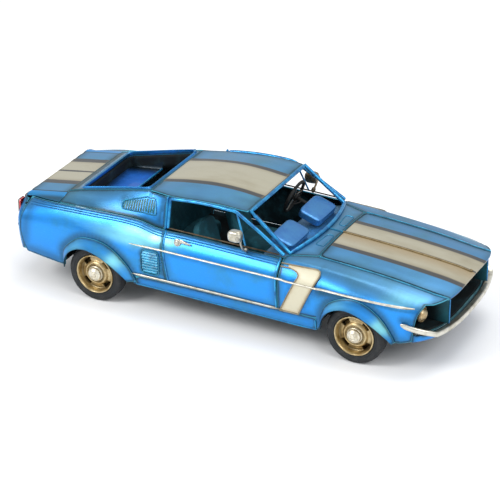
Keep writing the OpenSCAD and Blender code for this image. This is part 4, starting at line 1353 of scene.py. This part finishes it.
def strip_shape(x0, x1, z0, z1, height, proud, lift=lambda x: 0.0):
    """Half-round strip that follows the side; its ends taper."""
    shape = Shape()
    n = max(12, int(abs(x1 - x0) / 1.5))
    rows = []
    for t in steps(0, 1, n):
        x, z = lerp(x0, x1, t), lerp(z0, z1, t)
        size = min(1, 0.3 + 14 * t, 0.45 + 14 * (1 - t))
        rows.append([side_pt(x, z - height / 2 * size * math.cos(a), TRIM_GAP + lift(x) + proud * size
                             * math.sin(a)) for a in (math.pi * k / 8 for k in range(9))])
    shape.grid(rows, around=True, worn=False)
    shape.lid(0, 9).lid(n * 9, 9, flip=True)
    return face_out(shape, OUT)


def over_plate(x):
    """The upper strip steps up where it crosses the cream plate."""
    return PLATE_OFF * unit(min((x - 44) / 3, (72 - x) / 3))


def trims_shape():
    shape = strip_shape(-67.3, 134.5, 49.7, 47.3, 1.2, 0.8, over_plate)
    low = strip_shape(-66, 42.5, 27.7, 26.7, 1.9, 1.1)
    return shape.join(low).both()


PLATE_TOP_Z, PLATE_LOW_Z = 57.3, 26.5


def plate_left(z):
    line = lerp(43.0, 55.6, (z - PLATE_LOW_Z) / 27.5)
    if z < 51.6:
        return line
    t = min((z - 51.6) / 4.2, 1)
    return line - (line - 46.5) * (1 - math.sqrt(1 - t * t))


def plate_right(z):
    corner = 4.0
    line = lerp(56.2, 70.2, (z - PLATE_LOW_Z) / (PLATE_TOP_Z - PLATE_LOW_Z))
    t = max(0, (z - (PLATE_TOP_Z - corner)) / corner)
    return line - corner * (1 - math.sqrt(max(0, 1 - t * t)))


def plate_shape():
    rows = []
    for z in steps(PLATE_TOP_Z, PLATE_LOW_Z, 60):
        rows.append([side_pt(lerp(plate_left(z), plate_right(z), s), z, PLATE_OFF)
                     for s in steps(0, 1, 16)])
    return sheet(rows, OUT)


def plate_border():
    zs = steps(PLATE_LOW_Z, PLATE_TOP_Z, 60)
    line = [side_pt(plate_left(z), z, PLATE_OFF + 0.15) for z in zs if z < 55.7]
    line += [side_pt(x, 55.8, PLATE_OFF) for x in steps(48, 41.6, 4)]
    top = [side_pt(x, 57.4, PLATE_OFF) for x in steps(41.6, 64, 10)]
    right = [side_pt(plate_right(z), z, PLATE_OFF + 0.15) for z in zs[::-1]]
    foot = [side_pt(x, PLATE_LOW_Z, PLATE_OFF + 0.15) for x in steps(56, 43.2, 6)]
    return Shape().tube(line, 0.45, sides=8).tube(top + right + foot, 0.5, sides=8)


LOUVRE_X, LOUVRE_Z = -51.8, 39.0


def rounded_frame(width, height, power, n=64):
    """Points of a rounded rectangle about the origin."""
    out = []
    for a in full_turn(n):
        c, s = math.cos(a), math.sin(a)
        out.append((width * math.copysign(abs(c) ** power, c), height * math.copysign(abs(s) ** power, s)))
    return out


def louvre_shape():
    shape = Shape()
    outline = rounded_frame(6.6, 8.7, 0.36)
    shape.tube([side_pt(LOUVRE_X + a, LOUVRE_Z + b, 0.35) for a, b in outline], 0.5, sides=8, closed=True)
    for i in range(8):
        z = LOUVRE_Z - 7 + i * 2
        reach = 5.7 if 0 < i < 7 else 5.0
        rows = [[side_pt(x, z + 0.75, -0.1), side_pt(x, z + 0.6, 0.15), side_pt(x, z, 0.55),
                 side_pt(x, z - 0.5, 0.85), side_pt(x, z - 0.75, 0.7), side_pt(x, z - 0.8, -0.1)]
                for x in steps(LOUVRE_X - reach, LOUVRE_X + reach, 8)]
        slat = sheet(rows, OUT, worn=False)
        shape.join(slat)
    for i in range(7):
        p = side_pt(LOUVRE_X + 8.6 - 0.15 * i, LOUVRE_Z + 8 - i * 2.2, 0.05)
        shape.tube([p + Vector((-0.5, 0, -0.5)), p + Vector((0.5, 0, 0.5))], 0.35, sides=8)
    return shape


VENT_CORNERS = [(0.592, 0.44), (0.602, 0.385), (0.66, 0.325), (0.735, 0.262), (0.80, 0.20), (0.852, 0.155),
                (0.876, 0.155), (0.886, 0.20), (0.904, 0.45), (0.911, 0.60), (0.90, 0.645), (0.84, 0.69),
                (0.762, 0.722), (0.68, 0.728), (0.62, 0.722), (0.60, 0.68), (0.592, 0.56)]


def vent_frame_shape():
    frame_line = smooth_path([Vector((t, v, 0)) for t, v in VENT_CORNERS], 5, closed=True)
    return Shape().tube([sail_pt(p.x, p.y, 0.45) for p in frame_line], 0.5, sides=8, closed=True)


def sail_vent_shape():
    shape = Shape()
    for i in range(13):
        t = lerp(0.612, 0.882, i / 12)
        high = lerp(0.42, 0.2, (t - 0.6) / 0.28)
        low = lerp(0.70, 0.61, max(t - 0.76, 0) / 0.13)
        rows = [[sail_pt(t - 0.010, v, -0.1), sail_pt(t - 0.006, v, 0.25), sail_pt(t, v, 0.4),
                 sail_pt(t + 0.006, v, 0.3), sail_pt(t + 0.010, v, -0.1)] for v in steps(high, low, 10)]
        slat = sheet(rows, OUT, worn=False)
        shape.join(slat)
    return shape


def door_beads():
    """Raised beads along the front and rear shut lines of the door."""
    shape = Shape()
    for top, low in ((DOOR_REAR_TOP_X + 0.9, DOOR_REAR_LOW_X + 0.9),
                     (DOOR_FRONT_X - 0.9, DOOR_FRONT_X + 0.1)):
        line = [side_pt(lerp(top, low, t), lerp(belt_z(top) - 0.2, ROCKER_TOP_Z + 1, t), 0.1)
                for t in steps(0, 1, 24)]
        shape.tube(line, 0.62, sides=10)
    return shape.both()


MIRROR_DROP = {"right": 0.0, "left": 6.0}


def mirror_place(side):
    return Vector((11.6, -57.2, 72.6 - MIRROR_DROP[side]))


def mirror_head(side):
    """Boxy rounded head: a swollen cube with a flatter glass side towards the rear."""
    rows = []
    n = 40
    for i in range(1, 20):
        b = math.pi * i / 20 - math.pi / 2
        row = []
        for a in full_turn(n):
            c = Vector((math.cos(b) * math.cos(a), math.cos(b) * math.sin(a), math.sin(b)))
            c = Vector([math.copysign(abs(q) ** 0.62, q) for q in c])
            size = Vector((5.2 if c.x < 0 else 4.6, 3.4, 4.0))
            row.append(mirror_place(side) + Vector((c.x * size.x, c.y * size.y, c.z * size.z + 0.12 * c.x)))
        rows.append(row)
    shape = Shape().grid(rows, around=True, worn=False)
    shape.lid(0, n).lid(18 * n, n, flip=True)
    return face_solid(shape)


def face_solid(shape):
    """Turns a closed solid's faces over if they look inwards."""
    volume = 0.0
    for f in shape.faces:
        p = [shape.points[i] for i in f]
        for a, b in zip(p[1:], p[2:]):
            volume += p[0].dot(a.cross(b))
    if volume < 0:
        shape.faces = [f[::-1] for f in shape.faces]
    return shape


def mirror_post(side):
    foot, head = Vector((15.6, -50.9, 60.6)), mirror_place(side)
    line = smooth_path([foot, foot + Vector((-0.1, -3.2, 1.6)), foot.lerp(head, 0.6) + Vector((2, -2.6, 0)),
                        head + Vector((3.9, 0.2, -1))], 6)
    shape = Shape().tube(line, 0.75, sides=12)
    shape.tube([foot + Vector((0, 0.6, -0.3)), foot + Vector((0, -0.5, 0.4))], 1.5, sides=16)
    rivet = [(0.01, 0.9), (0.6, 0.85), (1.1, 0.6), (1.35, 0.2), (1.35, -0.6)]
    shape.lathe(rivet, facing(head + Vector((3.0, -3.3, -0.4)), (0.15, -1, 0.1)), 24)
    return shape


HANDLE_X, HANDLE_Z = -33.0, 56.0


def handle_shape():
    """Round push button with a leaf-shaped lever beside it."""
    axis = Vector((0, -0.978, 0.208))
    base = side_pt(HANDLE_X, HANDLE_Z, 0.05)
    button = [(0.01, 2.15), (1.0, 2.1), (1.5, 1.95), (1.75, 1.7), (1.8, 1.3), (2.0, 1.1), (2.45, 0.95),
              (2.6, 0.7), (2.6, 0.0)]
    shape = Shape().lathe(button, facing(base, axis), 40)
    rows = []
    for t in steps(0, 1, 14):
        middle = base + Vector((lerp(1.6, 10.2, t), 0, lerp(1.9, 0.5, t))) + axis * (0.9 + 0.5
                                                                                     * math.sin(math.pi
                                                                                                * t))
        tall = lerp(1.5, 0.5, t) * min(1, 0.35 + 6 * t, 0.35 + 6 * (1 - t))
        rows.append([middle + UP * (tall * math.cos(a)) + axis * (0.75 * math.sin(a))
                     for a in full_turn(14)])
    lever = Shape().grid(rows, around=True, worn=False).lid(0, 14).lid(14 * 14, 14, flip=True)
    face_solid(lever)
    return shape.join(lever)


def trim_pieces():
    piece("belt_ridges", belt_ridges(), "ridge", nodes=["belt_mouldings"])
    piece("chrome_strips", trims_shape(), "silver", nodes=["side_trims"])
    piece("cream_plates", plate_shape().both(), "plate", nodes=["side_stripes"], thick=0.6, bevel=0.15)
    piece("cream_plate_borders", plate_border().both(), "border")
    piece("side_louvre_sets", louvre_shape().both(), "teal_wire", nodes=["side_louvres"])
    piece("sail_vent_frames", vent_frame_shape().both(), "dull_wire")
    piece("sail_vent_sets", sail_vent_shape().both(), "vent_dark", nodes=["sail_vents"])
    piece("door_shut_beads", door_beads(), "blue_wire")
    for side, mirror in SIDES:
        head, post = mirror_head(side), mirror_post(side)
        # The far mirror gets the darker brown silver: a painted shade on a copy of the near mirror's metal.
        look = "sill" if mirror else "silver"
        piece(f"mirror_head_{side}", head.mirrored() if mirror else head, look, nodes=["door_mirrors"])
        piece(f"mirror_post_{side}", post.mirrored() if mirror else post, look)
    piece("rocker_rolls", rocker_roll(), "blue_wire")
    piece("door_handle_sets", handle_shape().both(), "silver", nodes=["door_handles"])


# ---- window frames ----
PILLAR_BASE = Vector((40.5, -46.6, 61.2))
ROOF_CORNER = Vector((4.5, -43.3, 82.6))
B_TOP = Vector((-43.9, -41.8, 80.6))
B_BASE = Vector((-43, -47.3, 62.6))
VENT_TOP, VENT_BASE = Vector((6, -43.9, 81)), Vector((13.5, -47.3, 62))
WIRE_R = 1.1


def window_frame_shape():
    header = [B_TOP.lerp(ROOF_CORNER, t) + Vector((0, -0.6, 1.3 * math.sin(math.pi * t)))
              for t in steps(0.08, 0.9, 10)]
    corners = [B_BASE, B_TOP] + header + [ROOF_CORNER, ROOF_CORNER.lerp(PILLAR_BASE, 0.5) + UP * 0.6,
                                          PILLAR_BASE]
    line = round_corners(corners, 2.5, 5, closed=False)
    shape = Shape().tube(line, WIRE_R * 1.05, sides=12)
    strut = [VENT_TOP, VENT_TOP.lerp(VENT_BASE, 0.5), VENT_BASE]
    return shape.tube(strut, 0.65, sides=10)


def b_pillar_shape():
    """Flat upright strip that covers the joint of door and sail."""
    line = [B_BASE.lerp(B_TOP, t) + Vector((-1.6, -0.3, 0)) for t in steps(-0.03, 1.0, 12)]
    return Shape().tube(line, 1.5, sides=16, flat=0.55, up=(0, 1, 0.25))


def sill_wire():
    line = smooth_path([Vector((-42.5, -47.6, 62.0)), Vector((0, -47.8, 61.5)),
                        Vector((37.5, -47.2, 60.7))], 12)
    return Shape().tube(line, 0.5, sides=10)


def windshield_shape():
    header = [Vector((14.6 - 0.6 * v * v, 40 * v, roof_z(13, 41 * v) - 0.1)) for v in steps(-1, 1, 24)]
    base = [Vector((cowl_rear_x(42 * v) + 0.6, 41.8 * v, top_z(48, 42 * v) + 0.95))
            for v in steps(1, -1, 28)]
    left = [header[-1].lerp(base[0], t) for t in steps(0.12, 0.88, 6)]
    right = [base[-1].lerp(header[0], t) for t in steps(0.12, 0.88, 6)]
    return Shape().tube(header + left + base + right, 1.3, sides=12, closed=True)


def window_pieces():
    for side, mirror in SIDES:
        shape = window_frame_shape()
        piece(f"window_frame_{side}_wire", shape.mirrored() if mirror else shape, "blue_wire",
              nodes=[f"window_frame_{side}"])
    piece("b_pillar_strips", b_pillar_shape().both(), "blue_wire")
    piece("window_sill_wires", sill_wire().both(), "sill")
    piece("windshield_wire", windshield_shape(), "blue_wire", nodes=["windshield_frame"])


# ---- cabin ----
def dash_shape():
    rows = []
    for v in steps(-1, 1, 40):
        y, x = 43 * v, cowl_rear_x(42 * v) - 1
        rows.append(smooth_path([(x, y, top_z(48, y) - 1.3), (x - 4, y, 56.8), (24, y, 55.6), (22.6, y, 50),
                                 (25, y, 44)], 4))
    return sheet(rows, UP - Vector((1, 0, 0)))


PAD_REAR = Vector((25.4, 0, 67.0))
PAD_FRONT = Vector((41.6, 0, 61.4))
PAD_Y = (-20.7, 14.2)


def pad_shape():
    """Slab with rounded corners and a slightly crowned top, sloping down to the cowl."""
    ring = rounded_frame(1, 1, 0.34, 72)
    slope_axis = (PAD_FRONT - PAD_REAR) / 2
    middle = (PAD_FRONT + PAD_REAR) / 2 + Vector((0, PAD_Y[0], 0))
    normal = slope_axis.cross(Vector((0, -1, 0))).normalized()
    normal = -normal if normal.z < 0 else normal
    rows = []
    for size, down in ((1, 4.6), (1, 1.4), (0.985, 0.6), (0.94, 0.15), (0.85, 0.0), (0.6, -0.12),
                       (0.3, -0.2), (0.04, -0.22)):
        rows.append([middle + slope_axis * (a * size) + Vector((0, b * size * PAD_Y[1], 0)) - normal * down
                     for a, b in ring])
    shape = Shape().grid(rows, around=True, worn=False)
    shape.lid(7 * 72, 72).lid(0, 72, flip=True)
    return face_solid(shape)


WHEEL_AT = Vector((15.5, 21.0, 68.5))
COLUMN_TILT = math.radians(-68)
ON_COLUMN = Matrix.Translation(WHEEL_AT) @ Matrix.Rotation(COLUMN_TILT, 4, "Y")
RING_R = 11.3


def wheel_ring_shape():
    ring = [ON_COLUMN @ Vector((RING_R * math.cos(a), RING_R * math.sin(a), 0))
            for a in full_turn(72)]
    shape = Shape().tube(ring, 1.1, sides=14, closed=True)
    hub = [(1.1, -2.4), (2.1, -2.4), (2.3, -2.1), (2.3, -0.3), (2.0, 0.1), (1.1, 0.2)]
    return shape.lathe(hub, ON_COLUMN, 40)


def wheel_spoke_shape():
    """Three drilled spokes; the small studs stand for their rivets."""
    shape = Shape()
    for a in (90, 210, 330):
        turn = ON_COLUMN @ Matrix.Rotation(math.radians(a), 4, "Z")
        rows = []
        for r, w in ((2.0, 1.1), (3.6, 0.85), (6.2, 0.7), (8.8, 0.8), (10.8, 1.0)):
            rows.append([turn @ Vector((r, w * c, -0.45 + 0.35 * s)) for c,
                         s in rounded_frame(1, 1, 0.6, 12)])
        shape.grid(rows, around=True, worn=False)
        shape.lathe([(0.01, 0.35), (0.4, 0.3), (0.55, 0)], turn @ Matrix.Translation((7.4, 0, -0.2)), 14)
    return shape


def horn_ring():
    path = [ON_COLUMN @ Vector((3.6 * math.cos(a), 3.6 * math.sin(a), 0.1))
            for a in full_turn(40)]
    return Shape().tube(path, 0.3, sides=8, closed=True)


SEAT_FLOOR_Z = 22.5 + SHEET + 0.9


def cushion(corners, top, low, crown, channels, tilt=0.0):
    """Pressed seat cushion: rounded sides, a crowned top and pressed channels along it."""
    (x0, y0), (x1, y1) = corners
    cx, cy, hx, hy = (x0 + x1) / 2, (y0 + y1) / 2, (x1 - x0) / 2, (y1 - y0) / 2
    rows = []
    ring = rounded_frame(1, 1, 0.4, 96)
    sizes = [(0.9, low), (0.98, lerp(low, top, 0.12)), (1, lerp(low, top, 0.4)),
             (0.99, lerp(low, top, 0.75)), (0.95, lerp(low, top, 0.93))] + [(s, top)
                                                                            for s in (0.88, 0.8, 0.7, 0.6,
                                                                                      0.5, 0.4, 0.3, 0.2,
                                                                                      0.1, 0.02)]
    for size, z in sizes:
        row = []
        for a, b in ring:
            up = 0.0
            if z == top:
                groove = 0.35 * max(0, math.cos(math.pi * channels * b * size)) ** 6
                up = crown * (1 - (a * size) ** 2) * (1 - (b * size) ** 2) - groove * (1 - size ** 4)
            row.append(Vector((cx + a * size * hx, cy + b * size * hy, z + up + tilt * a * size)))
        rows.append(row)
    shape = Shape().grid(rows, around=True, worn=False)
    shape.lid(0, 96).lid((len(sizes) - 1) * 96, 96, flip=True)
    return face_solid(shape)


def front_seat_shape():
    low = SEAT_FLOOR_Z + 0.4
    shape = cushion([(-22.4, -35.5), (8.4, -8.5)], low + 10, low, 0.8, 4, tilt=0.6)
    back = cushion([(-4.5, -34.5), (30.5, -9.5)], 5.2, 0, 0.7, 4)
    lean = Matrix.Translation((-20.5, 0, SEAT_FLOOR_Z + 6.8)) @ Matrix.Rotation(math.radians(-105), 4, "Y")
    points = [lean @ p for p in back.points]
    return shape.add(points, back.faces, back.edge)


def rear_seat_shape():
    low = SEAT_FLOOR_Z + 0.3
    return cushion([(-60.5, -30.5), (-41.5, 30.5)], low + 10, low, 0.8, 6)


def rear_back_shape():
    """Back rest of the rear bench with pressed ribs; it closes the cabin towards the wheels."""
    rows = []
    for y in steps(-44.5, 44.5, 118):
        rib = 0.55 * abs(math.cos(math.pi * y / 6)) ** 0.6
        rows.append([Vector((lerp(-59.3, -69.5, t) + rib * math.sin(math.pi * min(1, 1.1 * t)), y,
                             lerp(SEAT_FLOOR_Z + 6, SEAT_FLOOR_Z + 35, t))) for t in steps(0, 1, 14)])
    return sheet(rows, Vector((1, 0, 0.3)))


def column_shape():
    shape = Shape().lathe([(1.3, -13.5), (1.3, -3.2), (1.15, -2.7), (1.0, -2.6), (1.0, 0.35), (1.7, 0.4),
                           (1.75, 0.7), (1.5, 1.1), (0.9, 1.25), (0.01, 1.3)], ON_COLUMN, 36)
    stalk = [ON_COLUMN @ Vector(p) for p in ((0, 0, -6), (0, -3.5, -5.6), (0, -8, -4.2))]
    return shape.tube(smooth_path(stalk, 6), 0.42, sides=10)


def cabin_pieces():
    piece("dash_skin", dash_shape(), "blue", nodes=["dashboard"], thick=0.6, bevel=0.15, lined=True)
    piece("dash_pads", pad_shape().both(), "pad")
    piece("steering_wheel_ring", wheel_ring_shape(), "black", body="steering", nodes=["steering_wheel"])
    piece("steering_wheel_spokes", wheel_spoke_shape(), "silver", body="steering", slot="black_paint")
    piece("steering_horn_ring", horn_ring(), "black", body="steering")
    piece("steering_column_tube", column_shape(), "black", nodes=["steering_column"])
    piece("front_seat_pair", front_seat_shape().both(), "seat", nodes=["front_seats"])
    piece("rear_seat_bench", rear_seat_shape(), "seat", nodes=["rear_seat"])
    piece("rear_seat_back_rest", rear_back_shape(), "seat", thick=1.2, bevel=0.3)


# ---- wheels and underside ----
TYRE_OUT_Y = 56.0
TYRE_R, TYRE_W, RIM_R = 19.8, 11.0, 13.8
GROOVE_R = 19.45


def on_axle(axle, sign):
    """Place of a wheel part turned about Z with its outer side up."""
    place = Matrix.Translation((AXLE_X[axle], sign * TYRE_OUT_Y, AXLE_Z))
    return place @ Matrix.Rotation(math.radians(-90 * sign), 4, "X")


def tyre_profile():
    wall = [(RIM_R, -1.2), (RIM_R + 0.15, -0.5), (RIM_R + 0.7, -0.1), (15.2, -0.02), (15.6, -0.25),
            (15.9, -0.3), (16.2, -0.12), (17.2, 0.0), (18.2, -0.1), (18.9, -0.45), (19.4, -1.0),
            (19.7, -1.7)]
    tread = []
    for groove in (-3.4, -5.5, -7.6):
        tread += [(TYRE_R, groove + 0.45), (GROOVE_R, groove + 0.3), (GROOVE_R, groove - 0.3),
                  (TYRE_R, groove - 0.45)]
    back = [(r, -TYRE_W - h) for r, h in wall[::-1]]
    return wall + [(TYRE_R, -2.2)] + tread + [(TYRE_R, -8.8)] + back


def tyre_shape(axle, sign):
    rows = Shape().lathe(tyre_profile() + [tyre_profile()[0]], on_axle(axle, sign), 128)
    return face_solid(rows)


SLOT_R = 10.1


def slot_dip(r, a):
    """Depth of the four pressed slots of a rim at a radius and an angle."""
    turn = math.degrees(a) % 90 - 45
    across = max(0.0, 1 - (abs(r - SLOT_R) / 1.25) ** 4)
    along = unit((17 - abs(turn)) / 2.5)
    return -3.2 * across * along


def rim_shape(axle, sign):
    outline = [(RIM_R - 0.02, -5), (RIM_R - 0.02, -0.2), (13.75, 0.25), (13.5, 0.5), (13.1, 0.5),
               (12.8, 0.2), (12.5, -0.5), (12.2, -1.6), (11.9, -2.6), (11.5, -3.2), (11.2, -3.4),
               (11.1, -3.4), (10.9, -3.35), (10.6, -3.3), (10.2, -3.2), (9.8, -3.1), (9.4, -3.0),
               (9.2, -2.95), (9.0, -2.9), (8.7, -2.7), (8.3, -2.2), (7.9, -1.7), (7.5, -1.4), (7.2, -1.3),
               (6.9, -1.3), (6.7, -1.5), (6.6, -1.8), (6.4, -1.9), (6.2, -1.75), (6.0, -1.7), (5.8, -1.9),
               (5.6, -2.15), (1.6, -2.2)]
    front = Shape().lathe(outline, on_axle(axle, sign), 192, slot_dip)
    barrel = [(1.6, -8), (4, -8), (4, -3.9), (7.6, -3.9), (11.6, -6.4), (12.4, -9), (12.6, -TYRE_W + 1),
              (RIM_R - 0.02, -TYRE_W + 1), (RIM_R - 0.02, -5)]
    front.lathe(barrel[::-1], on_axle(axle, sign), 96)
    return face_out(front, Vector((0, sign, 0)))


def cap_shape(axle, sign):
    outline = [(5.4, -2.1), (5.4, -1.1), (5.25, -0.85), (4.95, -0.7), (4.75, -0.4), (4.7, 0.2), (4.62, 0.7),
               (4.4, 1.05), (4.0, 1.3), (3.6, 1.45), (3.3, 1.75), (3.0, 2.0), (2.5, 2.25), (2.1, 2.35),
               (1.9, 2.2), (1.6, 2.2), (1.4, 2.4), (1.0, 2.52), (0.5, 2.58), (0.01, 2.6)]
    return face_out(Shape().lathe(outline, on_axle(axle, sign), 72), Vector((0, sign, 0)))


def rim_shade(p):
    """Painted shade in the dish and in the slots of a rim."""
    axle = AXLE_X["front"] if p.x > 0 else AXLE_X["rear"]
    r = math.hypot(p.x - axle, p.z - AXLE_Z)
    depth = TYRE_OUT_Y - abs(p.y)
    dish = 0.55 * math.exp(-((r - 11.2) / 1.1) ** 2) + 0.4 * math.exp(-((r - 5.9) / 0.6) ** 2)
    return min(1.0, dish + max(0.0, min(0.95, (depth - 3.9) / 1.2)))


def wheel_pieces():
    for axle in ("front", "rear"):
        body = f"{axle}_wheels"
        for side, sign in (("right", -1), ("left", 1)):
            piece(f"tyre_{axle}_{side}_rubber", tyre_shape(axle, sign), "rubber", body=body,
                  nodes=[f"tyre_{axle}_{side}"])
            piece(f"rim_{axle}_{side}_dish", rim_shape(axle, sign), "brass", body=body,
                  nodes=[f"rim_{axle}_{side}"], shade=rim_shade)
            piece(f"hub_cap_{axle}_{side}_dome", cap_shape(axle, sign), "cap", body=body,
                  nodes=[f"hub_cap_{axle}_{side}"])


def dress_cad_nodes():
    """The plain pieces under the car keep their CAD shape and get their paint here."""
    for node, label in (("floor_pan", "dark"), ("axle_brackets", "steel"), ("front_axle", "steel"),
                        ("rear_axle", "steel")):
        obj = frame["nodes"][node]
        obj.data.materials.clear()
        obj.data.materials.append(MATERIALS[label])


def tinted_wire(name, light, deep, rough=0.3):
    """Paint of the thin blue wires: rubbed pale on top, deep in patches."""
    p = Paint(name)
    patch = p.noise(7, 4, 0.6)
    p.set(Base_Color=p.mix(p.ramp(patch, 0.35, 0.7), light, deep), Metallic=0.75, Coat_Weight=0.4,
          Coat_Roughness=0.15, Roughness=p.ramp(patch, 0.3, 0.7, rough, rough + 0.12))
    p.bump(p.noise(3, 3, 0.5), 0.15, 0.3)
    return p.material


def tray_paint():
    """Blue floor of the rear window well, shaded dark towards its ends."""
    p = Paint("tray_blue")
    side = p.ramp(p.math("ABSOLUTE", p.plus(p.y, p.times(p.noise(12, 3), 4))), 20, 33)
    rear = p.ramp(p.plus(p.x, p.times(p.y, 0.12)), TRAY_REAR_X + 15, TRAY_REAR_X + 3)
    dark = p.math("MAXIMUM", side, rear)
    p.set(Base_Color=p.mix(dark, (0.018, 0.16, 0.62), (0.008, 0.02, 0.03)), Metallic=0.6,
          Roughness=p.ramp(p.noise(6), 0.3, 0.7, 0.35, 0.5), Coat_Weight=0.3)
    p.bump(p.noise(10, 3), 0.3, 0.3)
    return p.material


def make_materials():
    return {"blue": blue_paint(), "roof": striped_blue("roof_blue_striped"),
            "hood": striped_blue("hood_blue_striped", "bead"),
            "deck": striped_blue("deck_blue_striped", "line", flank=35.0, border=4.6), "tray": tray_paint(),
            "pad": tinted_wire("pad_blue", (0.050, 0.225, 0.50), (0.035, 0.165, 0.43), 0.36),
            "blue_wire": tinted_wire("wire_blue", (0.025, 0.33, 0.66), (0.010, 0.13, 0.34)),
            "teal_wire": tinted_wire("vent_teal", (0.022, 0.22, 0.36), (0.010, 0.09, 0.15), 0.4),
            "vent_dark": tinted_wire("vent_dark_teal", (0.016, 0.13, 0.14), (0.010, 0.08, 0.09), 0.55),
            # Paler copy of the stripes' cream for the side plates: painted light.
            "plate": cream_paint("plate_cream", 1.75),
            "border": aged_metal("cream_border", (0.62, 0.58, 0.44), (0.42, 0.34, 0.19), 0.4,
                                 metallic=0.15),
            "ridge": tinted_wire("ridge_blue", (0.014, 0.21, 0.50), (0.010, 0.10, 0.24), 0.32),
            "dull_wire": tinted_wire("dull_blue_wire", (0.028, 0.25, 0.42), (0.018, 0.14, 0.25), 0.38),
            "seam": tinted_wire("seam_dark", (0.012, 0.07, 0.11), (0.008, 0.035, 0.055), 0.4),
            "rib_gold": aged_metal("rib_gold", (0.40, 0.30, 0.14), (0.22, 0.15, 0.06), 0.4, metallic=0.3),
            "silver": aged_metal("aged_silver", (0.70, 0.68, 0.60), (0.42, 0.39, 0.30), 0.3),
            "sill": aged_metal("brown_silver", (0.30, 0.23, 0.15), (0.10, 0.07, 0.04), 0.38),
            "steel": aged_metal("plain_steel", (0.45, 0.45, 0.44), (0.28, 0.27, 0.25), 0.4),
            "brass": aged_metal("antique_brass", (0.60, 0.48, 0.27), (0.36, 0.25, 0.11), 0.27, reach=5),
            "lamp": aged_metal("lamp_brass", (0.80, 0.66, 0.42), (0.42, 0.27, 0.11), 0.36, reach=4,
                               metallic=0.7),
            "bay": aged_metal("bay_teal", (0.016, 0.12, 0.155), (0.010, 0.07, 0.09), 0.45, metallic=0.4),
            "lip": tinted_wire("mouth_lip_teal", (0.10, 0.30, 0.34), (0.03, 0.12, 0.14), 0.35),
            "cap": aged_metal("cap_silver", (0.80, 0.75, 0.62), (0.55, 0.48, 0.34), 0.3, reach=3,
                              metallic=0.85), "rubber": rubber(), "dark": dark_paint(),
            "inside": dark_paint("inside_teal", (0.008, 0.022, 0.028), (0.02, 0.08, 0.10)),
            "black": dark_paint("wheel_black", (0.008, 0.008, 0.008), (0.03, 0.03, 0.028)),
            "seat": dark_paint("seat_teal", (0.02, 0.10, 0.13), (0.04, 0.20, 0.26)), "red": lamp_red(),
            "floor": floor_paint()}


def make_floor(material):
    size = 3.0
    mesh = bpy.data.meshes.new("studio_floor")
    mesh.from_pydata([(-size, -size, 0), (size, -size, 0), (size, size, 0), (-size, size, 0)], [],
                     [(0, 1, 2, 3)])
    mesh.materials.append(material)
    floor = bpy.data.objects.new("studio_floor", mesh)
    bpy.context.scene.collection.objects.link(floor)


make_camera()
make_studio()
MATERIALS = make_materials()
make_floor(MATERIALS["floor"])
SHADE_LINES = shade_lines()
side_pieces()
upper_pieces()
tail_pieces()
nose_pieces()
trim_pieces()
window_pieces()
cabin_pieces()
wheel_pieces()
dress_cad_nodes()
